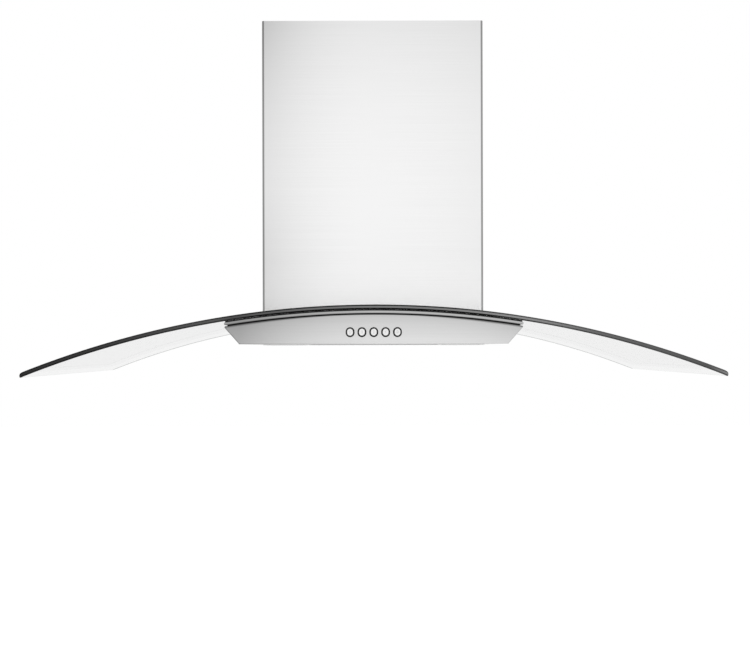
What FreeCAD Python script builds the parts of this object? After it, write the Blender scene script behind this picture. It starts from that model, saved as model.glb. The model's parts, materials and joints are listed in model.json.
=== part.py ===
import FreeCAD, Part
import math
import os

# Wall-mounted range hood: an arched glass canopy on a boat-shaped steel body, with a
# twin-inlet blower in a box above it and a two-piece telescopic chimney.
# Millimetres. The wall is the plane y = 0 and the room is at -Y, +Z is up, +X is right
# when the hood is seen from the room. The origin is the centre of the wall bolt pattern.

V = FreeCAD.Vector
X_AXIS = V(1, 0, 0)
Y_AXIS = V(0, 1, 0)
Z_AXIS = V(0, 0, 1)

# Canopy glass
GLASS_WIDTH = 900.0
GLASS_DEPTH = 500.0
GLASS_THICKNESS = 6.0
GLASS_RADIUS = 1215.0            # outer face of the arch
GLASS_CROWN = 50.0               # top of the arch over the body's flat bottom
GLASS_EDGE_ROUND = 2.6
GLASS_CORNER = 8.0
GLASS_WINDOW_ROUND = 10.0

# Levels
BOTTOM = -180.0                  # the body's flat bottom, under the wall bolts' centre
GASKET = 1.5                     # rubber between glass and steel
LIP_HEIGHT = 3.5                 # front lip of the cradle, seen as a pale strip
SHADOW_GAP = 1.5                 # between that lip and the control panel
SEAT_GAP = 0.1                   # between curved faces that rest on each other
GLASS_SLACK = 0.6                # between the glass and its gasket
PAST = 1.0                       # overrun of a cut, and reach when edges are picked
ALONG = 0.99                     # share of a direction that counts as along an axis

# Steel body
SHEET = 1.0
CRADLE_SHEET = 1.5
CRADLE_HALF_WIDTH = 189.5
PANEL_SETBACK = 4.0              # from the glass's front edge
LIP_SETBACK = 2.5
LIP_DEPTH = 8.0
LIP_ROUND = 1.6
PANEL_SHEET = 1.2
PANEL_BOTTOM_HALF = 170.5
PANEL_TOP_HALF = 189.0
PANEL_SIDE_HEIGHT = 21.0
PANEL_RETURN = 12.0
SHELL_INSET = 3.5                # the panel overlaps the shell's sides by this much

# Push buttons
BUTTON_COUNT = 5
BUTTON_PITCH = 15.0
BUTTON_WIDTH = 9.2
BUTTON_HEIGHT = 10.6
BUTTON_LEVEL = 15.0              # over the flat bottom
BUTTON_TRAVEL = 3.0
BUTTON_PROUD = 3.6
BUTTON_CLEARANCE = 0.2
BEZEL_WALL = 0.8
BEZEL_PROUD = 0.6
BUTTON_FLANGE = 1.2
BUTTON_CHAMFER = 0.8
STEM_WIDTH = 4.0
STEM_LENGTH = 9.0
SWITCH_WIDTH = 82.0
SWITCH_HEIGHT = 22.0
SWITCH_DEPTH = 20.0
BRACKET_SHEET = 1.2

# Lamps
LAMP_SPACING = 230.0
LAMP_SETBACK = 55.0              # from the glass's front edge
LAMP_HOLE_RADIUS = 26.0
LAMP_FLANGE = 5.0
LAMP_FLANGE_SHEET = 1.5
LAMP_WALL = 1.2
LAMP_FIT = 0.2
LAMP_CUP_HEIGHT = 20.0
LENS_THICKNESS = 2.0
LENS_BEVEL = 1.0
LAMP_BOSS_RADIUS = 12.0
LAMP_BOSS_HEIGHT = 2.4

# Grease filter and its mouth
MOUTH_WIDTH = 260.0
MOUTH_SETBACK = 100.0            # from the glass's front edge
MOUTH_REAR = 66.0                # from the wall
FILTER_GAP = 2.0
FILTER_REAR_GAP = 6.0
FILTER_THICKNESS = 9.0
FILTER_LIFT = 1.5                # its underside over the flat bottom
FILTER_RAIL = 12.0
FILTER_SHEET = 1.0
FILTER_LIP = 3.0
FILTER_ROD_RADIUS = 1.5
FILTER_RODS = 3
MESH_CLEARANCE = 0.3
PEG_RADIUS = 2.0
PEG_INSET = 6.0                  # from the filter's rear edge
PEG_REACH = 5.0
PEG_CLEARANCE = 0.3
EAR_SHEET = 2.0
EAR_HALF_WIDTH = 6.0
EAR_OVER_PEG = 5.0

# Filter latch
LATCH_BLOCK_WIDTH = 64.0
LATCH_BLOCK_DEPTH = 36.0
LATCH_WIDTH = 36.0
LATCH_LENGTH = 20.0
LATCH_HEIGHT = 2.4
LATCH_THROW = 4.0
LATCH_CLEARANCE = 0.3
LATCH_FLOOR = 0.8
LATCH_FRONT_WALL = 3.0
TONGUE_WIDTH = 16.0
TONGUE_SHORT = 0.6               # drawn tip to the mouth's edge
LATCH_TAB_WIDTH = 24.0
LATCH_TAB_DEPTH = 7.0
LATCH_TAB_DROP = 1.6

# Fan box, open below, with its back on the wall
BOX_SIDE_ROOM = 15.0             # to the lower chimney cover's sides
BOX_FRONT_ROOM = 24.0            # to its front
FAN_BOX_TOP = 290.0              # over the flat bottom
BOX_FLANGE = 10.0                # upstand of the cradle inside the box
BOX_FLANGE_GAP = 0.2
WINDOW_CLEARANCE = 4.0           # glass window round the fan box
WALL_BOLT_SPACING_X = 230.0
WALL_BOLT_SPACING_Z = 140.0
WALL_BOLT_HOLE = 4.0

# Blower
FAN_LEVEL = 150.0                # shaft, over the flat bottom
SCROLL_START = 75.0
SCROLL_END = 100.0
SCROLL_TONGUE = 6.0              # degrees forward of the top
SCROLL_ARCS = 4
SCROLL_WIDTH = 121.0
SCROLL_WALL = 1.5
SCROLL_FRONT_ROOM = 4.0          # to the fan box's front
SCROLL_TOP_DROP = 33.0           # scroll outlet, under the fan box's top
INLET_RADIUS = 57.0
INLET_FLARE = 5.0
INLET_WALL = 1.2
IMPELLER_RADIUS = 70.0
BLADE_CHORD = 11.0
BLADE_COUNT = 36
BLADE_THICKNESS = 0.9
BLADE_SWEEP = 7.0                # degrees the tip leads the heel
BLADE_CAMBER = 2.2
BLADE_RUNS = 2                   # straight runs from heel to tip
IMPELLER_WIDTH = 114.0
IMPELLER_PLATE = 1.5
RING_WIDTH = 10.0
HUB_RADIUS = 10.0
HUB_LENGTH = 22.0

# Motor
MOTOR_RADIUS = 42.0
MOTOR_FRONT_GAP = 3.0            # to the impeller's hub
MOTOR_LENGTH = 54.0
MOTOR_CAP_STEP = 4.0
MOTOR_CAP_LENGTH = 10.0
SHAFT_RADIUS = 4.0
SHAFT_CLEARANCE = 0.06
SHAFT_OVERHANG = 5.0
SPIDER_SHEET = 2.0
SPIDER_ARMS = 3
SPIDER_ARM_WIDTH = 10.0
SPIDER_DISC_RADIUS = 28.0
SPIDER_FOOT_RADIUS = 72.0
SPIDER_FOOT = 4.0

# Outlet and dampers
COLLAR_FRONT_ROOM = 86.0         # collar's axis to the fan box's front
COLLAR_RADIUS = 74.5
COLLAR_WALL = 1.5
COLLAR_HEIGHT = 55.0
COLLAR_FLANGE_WIDTH = 172.0
COLLAR_FLANGE_DEPTH = 164.0
COLLAR_FLANGE_SHEET = 1.5
PIN_RADIUS = 1.5
PIN_LEVEL = 20.0                 # over the collar's flange
PIN_BOSS_RADIUS = 4.0
PIN_BOSS_LENGTH = 4.0
PIN_SEAT = 2.5
FLAP_THICKNESS = 1.2
FLAP_RIM_CLEARANCE = 0.6
FLAP_SEAT_GAP = 0.3
FLAP_START = 4.6
KNUCKLE_RADIUS = 3.0
KNUCKLE_LENGTH = 18.0
KNUCKLE_OUTER = 45.0             # knuckle centres, from the middle
KNUCKLE_INNER = 15.0
KNUCKLE_CLEARANCE = 0.06
LEDGE_WIDTH = 3.5
LEDGE_HEIGHT = 2.5
ADAPTOR_FOLDS = 6                # folds of the throat in each quarter

# Electrics on the fan box
TERMINAL_WIDTH = 42.0
TERMINAL_LENGTH = 90.0
TERMINAL_HEIGHT = 28.0
TERMINAL_WALL = 2.0
TERMINAL_SETBACK = 40.0
TERMINAL_LID = 2.0
GLAND_RADIUS = 9.0
GLAND_SIDES = 6
GLAND_NUT_RADIUS = 7.6
GLAND_ALONG = 67.5               # along the terminal box, from its front
GLAND_BORE = 4.0
GLAND_HEIGHT = 16.0
CAPACITOR_RADIUS = 15.0
CAPACITOR_LENGTH = 60.0
CAPACITOR_CLIP_SHEET = 1.2
CAPACITOR_CLIP_WIDTH = 16.0
DRIVER_WIDTH = 80.0
DRIVER_DEPTH = 26.0
DRIVER_HEIGHT = 16.0
DRIVER_SETBACK = 80.0            # its rear face, from the glass's front edge

# Chimney covers
CHIMNEY_WIDTH = 330.0
CHIMNEY_DEPTH = 250.0
CHIMNEY_TOP = 484.0              # lower cover, over the flat bottom
CHIMNEY_SHEET = 1.0
CHIMNEY_BEND = 3.0
CHIMNEY_GLASS_GAP = 1.0
CHIMNEY_FLANGE = 13.0
COVER_GAP = 0.5                  # between the two covers
UPPER_FOOT = 62.0                # upper cover's lower edge, over the flat bottom
UPPER_HIDDEN = 4.0               # its top under the lower cover's top
BRACKET_DEPTH = 22.0
BRACKET_HEIGHT = 20.0
BRACKET_DROP = 10.0
BRACKET_HOLE = 3.0
BRACKET_BOLT_SPACING = 240.0
CLAMP_SHEET = 2.0
CLAMP_GLASS_GAP = 0.3
CLAMP_POST = 32.0

# Derived levels and planes
ARCH_Z = BOTTOM + GLASS_CROWN - GLASS_RADIUS
FAN_BOX_WIDTH = CHIMNEY_WIDTH - 2 * BOX_SIDE_ROOM
FAN_BOX_DEPTH = CHIMNEY_DEPTH - BOX_FRONT_ROOM
FAN_SETBACK = FAN_BOX_DEPTH - SCROLL_FRONT_ROOM - SCROLL_END
MOUTH_FRONT = GLASS_DEPTH - MOUTH_SETBACK
GLASS_UNDER = GLASS_RADIUS - GLASS_THICKNESS
CRADLE_TOP = GLASS_UNDER - GASKET
CRADLE_UNDER = CRADLE_TOP - CRADLE_SHEET
PANEL_ARC = CRADLE_TOP - LIP_HEIGHT - SHADOW_GAP
GLASS_FRONT = -GLASS_DEPTH
LIP_FRONT = GLASS_FRONT + LIP_SETBACK
PANEL_FRONT = GLASS_FRONT + PANEL_SETBACK
PANEL_BACK = PANEL_FRONT + PANEL_SHEET
SIDE_SLOPE = (PANEL_TOP_HALF - PANEL_BOTTOM_HALF) / PANEL_SIDE_HEIGHT
BUTTON_Z = BOTTOM + BUTTON_LEVEL
BOX_HALF = FAN_BOX_WIDTH / 2
BOX_TOP = BOTTOM + FAN_BOX_TOP
BOX_CEILING = BOX_TOP - SHEET
BOX_FRONT = -FAN_BOX_DEPTH
FAN_Y = -FAN_SETBACK
FAN_Z = BOTTOM + FAN_LEVEL
SCROLL_TOP = BOX_TOP - SCROLL_TOP_DROP
SCROLL_HALF = SCROLL_WIDTH / 2
SCROLL_OUTSIDE = SCROLL_HALF + SCROLL_WALL
COLLAR_Y = BOX_FRONT + COLLAR_FRONT_ROOM
COLLAR_BORE = COLLAR_RADIUS - COLLAR_WALL
COLLAR_FOOT = BOX_TOP + COLLAR_FLANGE_SHEET
PIN_Z = COLLAR_FOOT + PIN_LEVEL
MOTOR_NEAR = -(HUB_LENGTH / 2 + MOTOR_FRONT_GAP)
MOTOR_FAR = MOTOR_NEAR - MOTOR_LENGTH
FILTER_HALF = MOUTH_WIDTH / 2 - FILTER_GAP
FILTER_FRONT = -MOUTH_FRONT + FILTER_GAP
FILTER_REAR = -MOUTH_REAR - FILTER_REAR_GAP
FILTER_Z = BOTTOM + FILTER_LIFT
FILTER_TOP = FILTER_Z + FILTER_THICKNESS
PEG_Y = FILTER_REAR - PEG_INSET
PEG_Z = FILTER_Z + FILTER_THICKNESS / 2
UPPER_HALF = CHIMNEY_WIDTH / 2 - CHIMNEY_SHEET - COVER_GAP
UPPER_DEPTH = CHIMNEY_DEPTH - CHIMNEY_SHEET - COVER_GAP
UPPER_BACK = -(CHIMNEY_SHEET + COVER_GAP)
UPPER_BOTTOM = BOTTOM + UPPER_FOOT
UPPER_TOP = BOTTOM + CHIMNEY_TOP - UPPER_HIDDEN


# Shared shapes

def box(x0, x1, y0, y1, z0, z1):
    """Block between two corners."""
    return Part.makeBox(x1 - x0, y1 - y0, z1 - z0, V(x0, y0, z0))


def rod(radius, start, end):
    """Round bar between two points."""
    run = end - start
    return Part.makeCylinder(radius, run.Length, start, run)


def tube(outer, inner, start, end):
    """Round tube between two points."""
    return rod(outer, start, end).cut(rod(inner, start, end))


def joined(shapes):
    """One clean solid from pieces that meet or overlap."""
    return shapes[0].multiFuse(shapes[1:]).removeSplitter()


def without(shape, tools):
    """Shape with every tool taken out of it."""
    for tool in tools:
        shape = shape.cut(tool)
    return shape


def arch_z(radius, x):
    """Height of the canopy's arc of that radius above a place across the hood."""
    return ARCH_Z + math.sqrt(radius ** 2 - x ** 2)


def arch_edge(radius, x0, x1):
    """Arc about the canopy's axis, from x0 to x1, in the wall plane."""
    middle = (x0 + x1) / 2
    points = [V(x, 0, arch_z(radius, x)) for x in (x0, middle, x1)]
    return Part.Arc(*points).toShape()


def line(start, end):
    return Part.LineSegment(start, end).toShape()


def polygon(points):
    return Part.Face(Part.makePolygon(points + points[:1]))


def swept_along_y(edges, y_front, y_back):
    """Solid of a closed outline in the wall plane, between two depths."""
    face = Part.Face(Part.Wire(edges))
    face.translate(V(0, y_front, 0))
    return face.extrude(V(0, y_back - y_front, 0))


def arch_slab(under, top, half_width, y_front, y_back):
    """Curved plate between two arcs about the canopy's axis."""
    lower_left = V(-half_width, 0, arch_z(under, half_width))
    lower_right = V(half_width, 0, arch_z(under, half_width))
    upper_left = V(-half_width, 0, arch_z(top, half_width))
    upper_right = V(half_width, 0, arch_z(top, half_width))
    edges = [
        arch_edge(under, -half_width, half_width),
        line(lower_right, upper_right),
        arch_edge(top, half_width, -half_width),
        line(upper_left, lower_left),
    ]
    return swept_along_y(edges, y_front, y_back)


def below_arch(radius, half_width, y_front, y_back, floor):
    """Everything under an arc of the canopy, down to a level."""
    left = arch_z(radius, half_width)
    edges = [
        arch_edge(radius, -half_width, half_width),
        line(V(half_width, 0, left), V(half_width, 0, floor)),
        line(V(half_width, 0, floor), V(-half_width, 0, floor)),
        line(V(-half_width, 0, floor), V(-half_width, 0, left)),
    ]
    return swept_along_y(edges, y_front, y_back)


def boat_section(side_inset, floor, radius, y_front, y_back):
    """Flat-floored section with sloping sides under an arc, its sides drawn in by the inset."""
    slope_length = math.hypot(1, SIDE_SLOPE)
    floor_half = PANEL_BOTTOM_HALF - side_inset * slope_length + (floor - BOTTOM) * SIDE_SLOPE
    reach = 2 * GLASS_CROWN
    points = [
        V(-floor_half, y_front, floor),
        V(floor_half, y_front, floor),
        V(floor_half + reach * SIDE_SLOPE, y_front, floor + reach),
        V(-floor_half - reach * SIDE_SLOPE, y_front, floor + reach),
    ]
    wedge = polygon(points).extrude(V(0, y_back - y_front, 0))
    half_reach = PANEL_TOP_HALF + GLASS_CROWN / 2
    return wedge.common(below_arch(radius, half_reach, y_front, y_back, BOTTOM - PAST))


def oval_bar(width, height, x, y_front, y_back, z):
    """Upright bar with round ends, along Y."""
    radius = width / 2
    rise = V(0, 0, height / 2 - radius)
    centre = V(x, y_front, z)
    side = V(radius, 0, 0)
    top = Part.Arc(centre + rise - side, centre + rise + V(0, 0, radius), centre + rise + side).toShape()
    low = Part.Arc(centre - rise + side, centre - rise - V(0, 0, radius), centre - rise - side).toShape()
    right = line(centre + rise + side, centre - rise + side)
    left = line(centre - rise - side, centre + rise - side)
    return Part.Face(Part.Wire([top, right, low, left])).extrude(V(0, y_back - y_front, 0))


def edges_where(shape, test):
    """Edges of a shape whose middle point and direction pass a test."""
    found = []
    for edge in shape.Edges:
        middle = edge.valueAt((edge.FirstParameter + edge.LastParameter) / 2)
        direction = edge.tangentAt((edge.FirstParameter + edge.LastParameter) / 2)
        if test(middle, direction):
            found.append(edge)
    return found


def upright_edges(shape, test):
    return edges_where(shape, lambda at, way: abs(way.z) > ALONG and test(at))


# Canopy

def fan_window(clearance):
    """Upright shaft through the canopy for the fan box, with room round it."""
    half = BOX_HALF + clearance
    return box(-half, half, BOX_FRONT - clearance, 2 * SHEET + clearance, BOTTOM, BOX_TOP)


def glass_canopy():
    """Arched pane with polished round edges and a notch behind for the fan box."""
    pane = arch_slab(GLASS_UNDER, GLASS_RADIUS, GLASS_WIDTH / 2, GLASS_FRONT, 0)
    side = GLASS_WIDTH / 2 - PAST
    corners = edges_where(pane, lambda at, way: at.y < GLASS_FRONT + PAST and abs(at.x) > side)
    pane = pane.makeFillet(GLASS_CORNER, corners)
    rim = edges_where(pane, lambda at, way: at.y < -PAST and abs(way.z) < ALONG)
    pane = pane.makeFillet(GLASS_EDGE_ROUND, rim)
    notch = fan_window(WINDOW_CLEARANCE)
    corners = upright_edges(notch, lambda at: at.y < 0)
    return pane.cut(notch.makeFillet(GLASS_WINDOW_ROUND, corners))


def glass_gasket():
    """Rubber ring along the cradle's rim, under the glass."""
    rim = LIP_DEPTH + 4 * GASKET
    half = CRADLE_HALF_WIDTH - LIP_SETBACK
    sheet = arch_slab(CRADLE_TOP + SEAT_GAP, GLASS_UNDER - GLASS_SLACK, half, LIP_FRONT + GASKET / 2, 0)
    inside = box(-half + rim, half - rim, LIP_FRONT + rim, PAST, BOTTOM, BOX_TOP)
    return sheet.cut(inside)


def canopy_cradle():
    """Arched steel frame that carries the glass, with a rolled front lip and a fan collar."""
    lip_under = CRADLE_TOP - LIP_HEIGHT
    lip = arch_slab(lip_under, CRADLE_TOP, CRADLE_HALF_WIDTH, LIP_FRONT, LIP_FRONT + LIP_DEPTH)
    ends = edges_where(lip, lambda at, way: abs(at.x) > CRADLE_HALF_WIDTH - PAST and abs(way.y) > ALONG)
    lip = lip.makeFillet(LIP_ROUND, ends)
    plate = arch_slab(CRADLE_UNDER, CRADLE_TOP, CRADLE_HALF_WIDTH - SHEET, LIP_FRONT + LIP_DEPTH / 2, 0)
    opening = fan_window(-SHEET - BOX_FLANGE_GAP - SHEET)
    collar = fan_window(-SHEET - BOX_FLANGE_GAP)
    collar_top = arch_z(CRADLE_TOP, 0) + BOX_FLANGE
    above = box(-BOX_HALF, BOX_HALF, BOX_FRONT, PAST, collar_top, BOX_TOP + PAST)
    below = below_arch(CRADLE_UNDER, BOX_HALF, BOX_FRONT, PAST, BOTTOM - PAST)
    behind = box(-BOX_HALF, BOX_HALF, -SHEET - BOX_FLANGE_GAP, 2 * BOX_FLANGE, BOTTOM, BOX_TOP)
    collar = without(collar, [above, below, behind])
    rear_gap = box(-BOX_HALF + 3 * SHEET, BOX_HALF - 3 * SHEET, -3 * SHEET, PAST, BOTTOM, BOX_TOP)
    frame = joined([lip, plate, collar]).cut(opening)
    return frame.cut(rear_gap)


def body_shell():
    """Folded boat-shaped tray under the cradle, with the filter mouth and lamp holes."""
    outer = boat_section(SHELL_INSET, BOTTOM, CRADLE_UNDER, PANEL_BACK, 0)
    inner = boat_section(SHELL_INSET + SHEET, BOTTOM + SHEET, CRADLE_UNDER + SHEET, PANEL_BACK - PAST, -SHEET)
    mouth = box(-MOUTH_WIDTH / 2, MOUTH_WIDTH / 2, -MOUTH_FRONT, -MOUTH_REAR,
                BOTTOM - PAST, BOTTOM + 2 * SHEET)
    holes = [rod(LAMP_HOLE_RADIUS, at - Z_AXIS, at + Z_AXIS * 2) for at in lamp_places()]
    under_lip = arch_slab(CRADLE_TOP - LIP_HEIGHT, CRADLE_TOP, CRADLE_HALF_WIDTH + PAST,
                          LIP_FRONT, LIP_FRONT + LIP_DEPTH)
    return without(outer, [inner, mouth, under_lip] + holes)


def front_panel():
    """Brushed control panel, folded back inside the shell along its bottom."""
    plate = boat_section(0, BOTTOM, PANEL_ARC, PANEL_FRONT, PANEL_BACK)
    corners = edges_where(plate, lambda at, way: abs(way.y) > ALONG and at.z > BOTTOM + SHEET)
    plate = plate.makeFillet(PANEL_SHEET, corners)
    half = PANEL_BOTTOM_HALF - 2 * SHELL_INSET
    fold = box(-half, half, PANEL_BACK - PANEL_SHEET / 2, PANEL_BACK + PANEL_RETURN,
               BOTTOM + SHEET, BOTTOM + SHEET + PANEL_SHEET)
    panel = joined([plate, fold])
    holes = [bezel_outline(x, PANEL_FRONT - PAST, PANEL_BACK + PAST) for x in button_places()]
    return without(panel, holes)


# Buttons

def button_places():
    """Button centres across the panel, from left to right."""
    first = -BUTTON_PITCH * (BUTTON_COUNT - 1) / 2
    return [first + BUTTON_PITCH * index for index in range(BUTTON_COUNT)]


def button_hole(x, y_front, y_back):
    width = BUTTON_WIDTH + 2 * BUTTON_CLEARANCE
    height = BUTTON_HEIGHT + 2 * BUTTON_CLEARANCE
    return oval_bar(width, height, x, y_front, y_back, BUTTON_Z)


def bezel_outline(x, y_front, y_back):
    width = BUTTON_WIDTH + 2 * (BUTTON_CLEARANCE + BEZEL_WALL)
    height = BUTTON_HEIGHT + 2 * (BUTTON_CLEARANCE + BEZEL_WALL)
    return oval_bar(width, height, x, y_front, y_back, BUTTON_Z)


def button_bezels():
    """Dark oval liners in the panel's five holes."""
    front = PANEL_FRONT - BEZEL_PROUD
    back = PANEL_BACK + BEZEL_PROUD
    bezels = []
    for x in button_places():
        bezels.append(bezel_outline(x, front, back).cut(button_hole(x, front - PAST, back + PAST)))
    return bezels


def push_button(x):
    """Oval cap with a square stop plate and a square stem into the switch block."""
    front = PANEL_FRONT - BUTTON_PROUD
    plate_front = PANEL_BACK + BEZEL_PROUD + BUTTON_CLEARANCE
    plate_back = plate_front + BUTTON_FLANGE
    cap = oval_bar(BUTTON_WIDTH, BUTTON_HEIGHT, x, front, plate_back, BUTTON_Z)
    rim = edges_where(cap, lambda at, way: at.y < front + BUTTON_CLEARANCE)
    cap = cap.makeChamfer(BUTTON_CHAMFER, rim)
    half_width = BUTTON_WIDTH / 2 + BEZEL_WALL
    half_height = BUTTON_HEIGHT / 2 + BEZEL_WALL
    plate = box(x - half_width, x + half_width, plate_front, plate_back,
                BUTTON_Z - half_height, BUTTON_Z + half_height)
    stem = square_bar(STEM_WIDTH, x, plate_front, plate_back + STEM_LENGTH)
    return joined([cap, plate, stem])


def square_bar(width, x, y_front, y_back):
    """Square bar along Y at the buttons' level."""
    half = width / 2
    return box(x - half, x + half, y_front, y_back, BUTTON_Z - half, BUTTON_Z + half)


def switch_front():
    """Front face of the switch block, behind the pressed buttons' stop plates."""
    flange_back = PANEL_BACK + BEZEL_PROUD + BUTTON_CLEARANCE + BUTTON_FLANGE
    return flange_back + BUTTON_TRAVEL + BUTTON_CLEARANCE


def switch_block():
    """Moulded five-way switch with a blind bore for each stem."""
    front = switch_front()
    block = box(-SWITCH_WIDTH / 2, SWITCH_WIDTH / 2, front, front + SWITCH_DEPTH,
                BUTTON_Z - SWITCH_HEIGHT / 2, BUTTON_Z + SWITCH_HEIGHT / 2)
    block = block.makeFillet(BEZEL_WALL, upright_edges(block, lambda at: True))
    bore = STEM_WIDTH + 2 * BUTTON_CLEARANCE
    depth = STEM_LENGTH + BUTTON_CLEARANCE
    return without(block, [square_bar(bore, x, front - PAST, front + depth) for x in button_places()])


def switch_bracket():
    """Sheet saddle behind the switch block, standing on the shell's bottom."""
    back = switch_front() + SWITCH_DEPTH
    floor = BOTTOM + SHEET
    half = SWITCH_WIDTH / 2
    upright = box(-half, half, back, back + BRACKET_SHEET, floor, BUTTON_Z + SWITCH_HEIGHT / 2)
    foot = box(-half, half, back, back + LIP_DEPTH, floor, floor + BRACKET_SHEET)
    shelf = box(-half, half, switch_front(), back + BRACKET_SHEET,
                BUTTON_Z - SWITCH_HEIGHT / 2 - BRACKET_SHEET, BUTTON_Z - SWITCH_HEIGHT / 2)
    return joined([upright, foot, shelf])


# Lamps

def lamp_places():
    """Centres of the two lamps on the body's flat bottom."""
    return [V(side * LAMP_SPACING / 2, GLASS_FRONT + LAMP_SETBACK, BOTTOM) for side in (-1, 1)]


def lamp_bezel(at):
    """Turned flange under the bottom, with a sleeve up through the hole."""
    under = at - Z_AXIS * LAMP_FLANGE_SHEET
    flange = rod(LAMP_HOLE_RADIUS + LAMP_FLANGE, under, at)
    sleeve = rod(LAMP_HOLE_RADIUS - LAMP_FIT, under, at + Z_AXIS * (SHEET + LENS_THICKNESS))
    bore = rod(lens_radius() + LAMP_FIT, under - Z_AXIS, at + Z_AXIS * LAMP_CUP_HEIGHT)
    return joined([flange, sleeve]).cut(bore)


def lens_radius():
    return LAMP_HOLE_RADIUS - LAMP_FIT - LAMP_WALL - LAMP_FIT


def lamp_lens(at):
    """Frosted lens with a bevelled face, level with the flange."""
    under = at - Z_AXIS * LAMP_FLANGE_SHEET
    disc = rod(lens_radius(), under, at + Z_AXIS * (SHEET + LENS_THICKNESS))
    rim = edges_where(disc, lambda middle, way: middle.z < under.z + SEAT_GAP)
    return disc.makeChamfer(LENS_BEVEL, rim[:1])


def lamp_housing(at):
    """Closed cup over the lens, with a cooling boss on top."""
    top = at + Z_AXIS * LAMP_CUP_HEIGHT
    cup = rod(LAMP_HOLE_RADIUS - LAMP_FIT, at + Z_AXIS * (SHEET + LENS_THICKNESS), top)
    crown = edges_where(cup, lambda middle, way: middle.z > top.z - SEAT_GAP)
    cup = cup.makeChamfer(LAMP_FLANGE, crown[:1])
    return joined([cup, rod(LAMP_BOSS_RADIUS, top, top + Z_AXIS * LAMP_BOSS_HEIGHT)])


def lamp_driver():
    """Lamp supply on the shell's bottom, behind the switch."""
    back = GLASS_FRONT + DRIVER_SETBACK
    case = box(-DRIVER_WIDTH / 2, DRIVER_WIDTH / 2, back - DRIVER_DEPTH, back,
               BOTTOM + SHEET, BOTTOM + SHEET + DRIVER_HEIGHT)
    return case.makeFillet(LAMP_FLANGE_SHEET, upright_edges(case, lambda at: True))


# Filter

def latch_box(clearance, y_front, y_back):
    """Room that the latch slides in, or the latch's own plate with no clearance."""
    low = FILTER_Z + LATCH_FLOOR
    half = LATCH_WIDTH / 2 + clearance
    return box(-half, half, y_front, y_back, low, low + LATCH_HEIGHT + 2 * clearance)


def latch_back():
    return FILTER_FRONT + LATCH_FRONT_WALL + LATCH_CLEARANCE + LATCH_THROW + LATCH_LENGTH


def latch_tab_front():
    return latch_back() - LATCH_LENGTH / 2 - LATCH_TAB_DEPTH / 2


def filter_frame():
    """Channel frame with rear pegs, cross rods and a block for the latch."""
    half = FILTER_HALF
    outer = box(-half, half, FILTER_FRONT, FILTER_REAR, FILTER_Z, FILTER_TOP)
    outer = outer.makeFillet(FILTER_SHEET, upright_edges(outer, lambda at: True))
    rail = FILTER_RAIL
    lip = FILTER_RAIL + FILTER_LIP
    seat = box(-half + rail, half - rail, FILTER_FRONT + rail, FILTER_REAR - rail,
               FILTER_Z + FILTER_SHEET, FILTER_TOP + PAST)
    view = box(-half + lip, half - lip, FILTER_FRONT + lip, FILTER_REAR - lip, FILTER_Z - PAST, FILTER_TOP)
    block = box(-LATCH_BLOCK_WIDTH / 2, LATCH_BLOCK_WIDTH / 2, FILTER_FRONT + rail / 2,
                FILTER_FRONT + LATCH_BLOCK_DEPTH, FILTER_Z, FILTER_TOP)
    pegs = rod(PEG_RADIUS, V(-half - PEG_REACH, PEG_Y, PEG_Z), V(-half + rail / 2, PEG_Y, PEG_Z))
    pegs_right = rod(PEG_RADIUS, V(half - rail / 2, PEG_Y, PEG_Z), V(half + PEG_REACH, PEG_Y, PEG_Z))
    frame = joined([without(outer, [seat, view]), block, pegs, pegs_right] + filter_rods())
    slot_front = latch_tab_front() - LATCH_THROW - LATCH_CLEARANCE
    slot_back = latch_tab_front() + LATCH_TAB_DEPTH + LATCH_CLEARANCE
    tab_half = LATCH_TAB_WIDTH / 2 + LATCH_CLEARANCE
    tab_slot = box(-tab_half, tab_half, slot_front, slot_back, FILTER_Z - PAST, FILTER_Z + 2 * LATCH_FLOOR)
    tongue_half = TONGUE_WIDTH / 2 + LATCH_CLEARANCE
    low = FILTER_Z + LATCH_FLOOR
    mouth = box(-tongue_half, tongue_half, FILTER_FRONT - PAST, latch_back(),
                low, low + LATCH_HEIGHT + 2 * LATCH_CLEARANCE)
    slide_room = latch_box(LATCH_CLEARANCE, FILTER_FRONT + LATCH_FRONT_WALL, latch_back() + LATCH_CLEARANCE)
    return without(frame, [slide_room, mouth, tab_slot])


def filter_rods():
    """Stiffening rods under the mesh, spread evenly between the rails."""
    front = FILTER_FRONT + LATCH_BLOCK_DEPTH
    step = (FILTER_REAR - FILTER_RAIL - front) / (FILTER_RODS + 1)
    half = FILTER_HALF - FILTER_RAIL - FILTER_SHEET / 2
    level = FILTER_Z + FILTER_SHEET - FILTER_ROD_RADIUS
    rods = []
    for index in range(FILTER_RODS):
        y = front + step * (index + 1)
        bar = box(-half, half, y - FILTER_ROD_RADIUS, y + FILTER_ROD_RADIUS, level, FILTER_Z + FILTER_SHEET)
        rods.append(bar)
    return rods


def filter_mesh():
    """Pack of expanded-metal layers that drops into the frame."""
    half = FILTER_HALF - FILTER_RAIL - MESH_CLEARANCE
    inset = FILTER_RAIL + MESH_CLEARANCE
    pack = box(-half, half, FILTER_FRONT + inset, FILTER_REAR - inset,
               FILTER_Z + FILTER_SHEET, FILTER_TOP - FILTER_SHEET)
    block_half = LATCH_BLOCK_WIDTH / 2 + MESH_CLEARANCE
    block = box(-block_half, block_half, FILTER_FRONT, FILTER_FRONT + LATCH_BLOCK_DEPTH + MESH_CLEARANCE,
                FILTER_Z, FILTER_TOP)
    return pack.cut(block)


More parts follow.
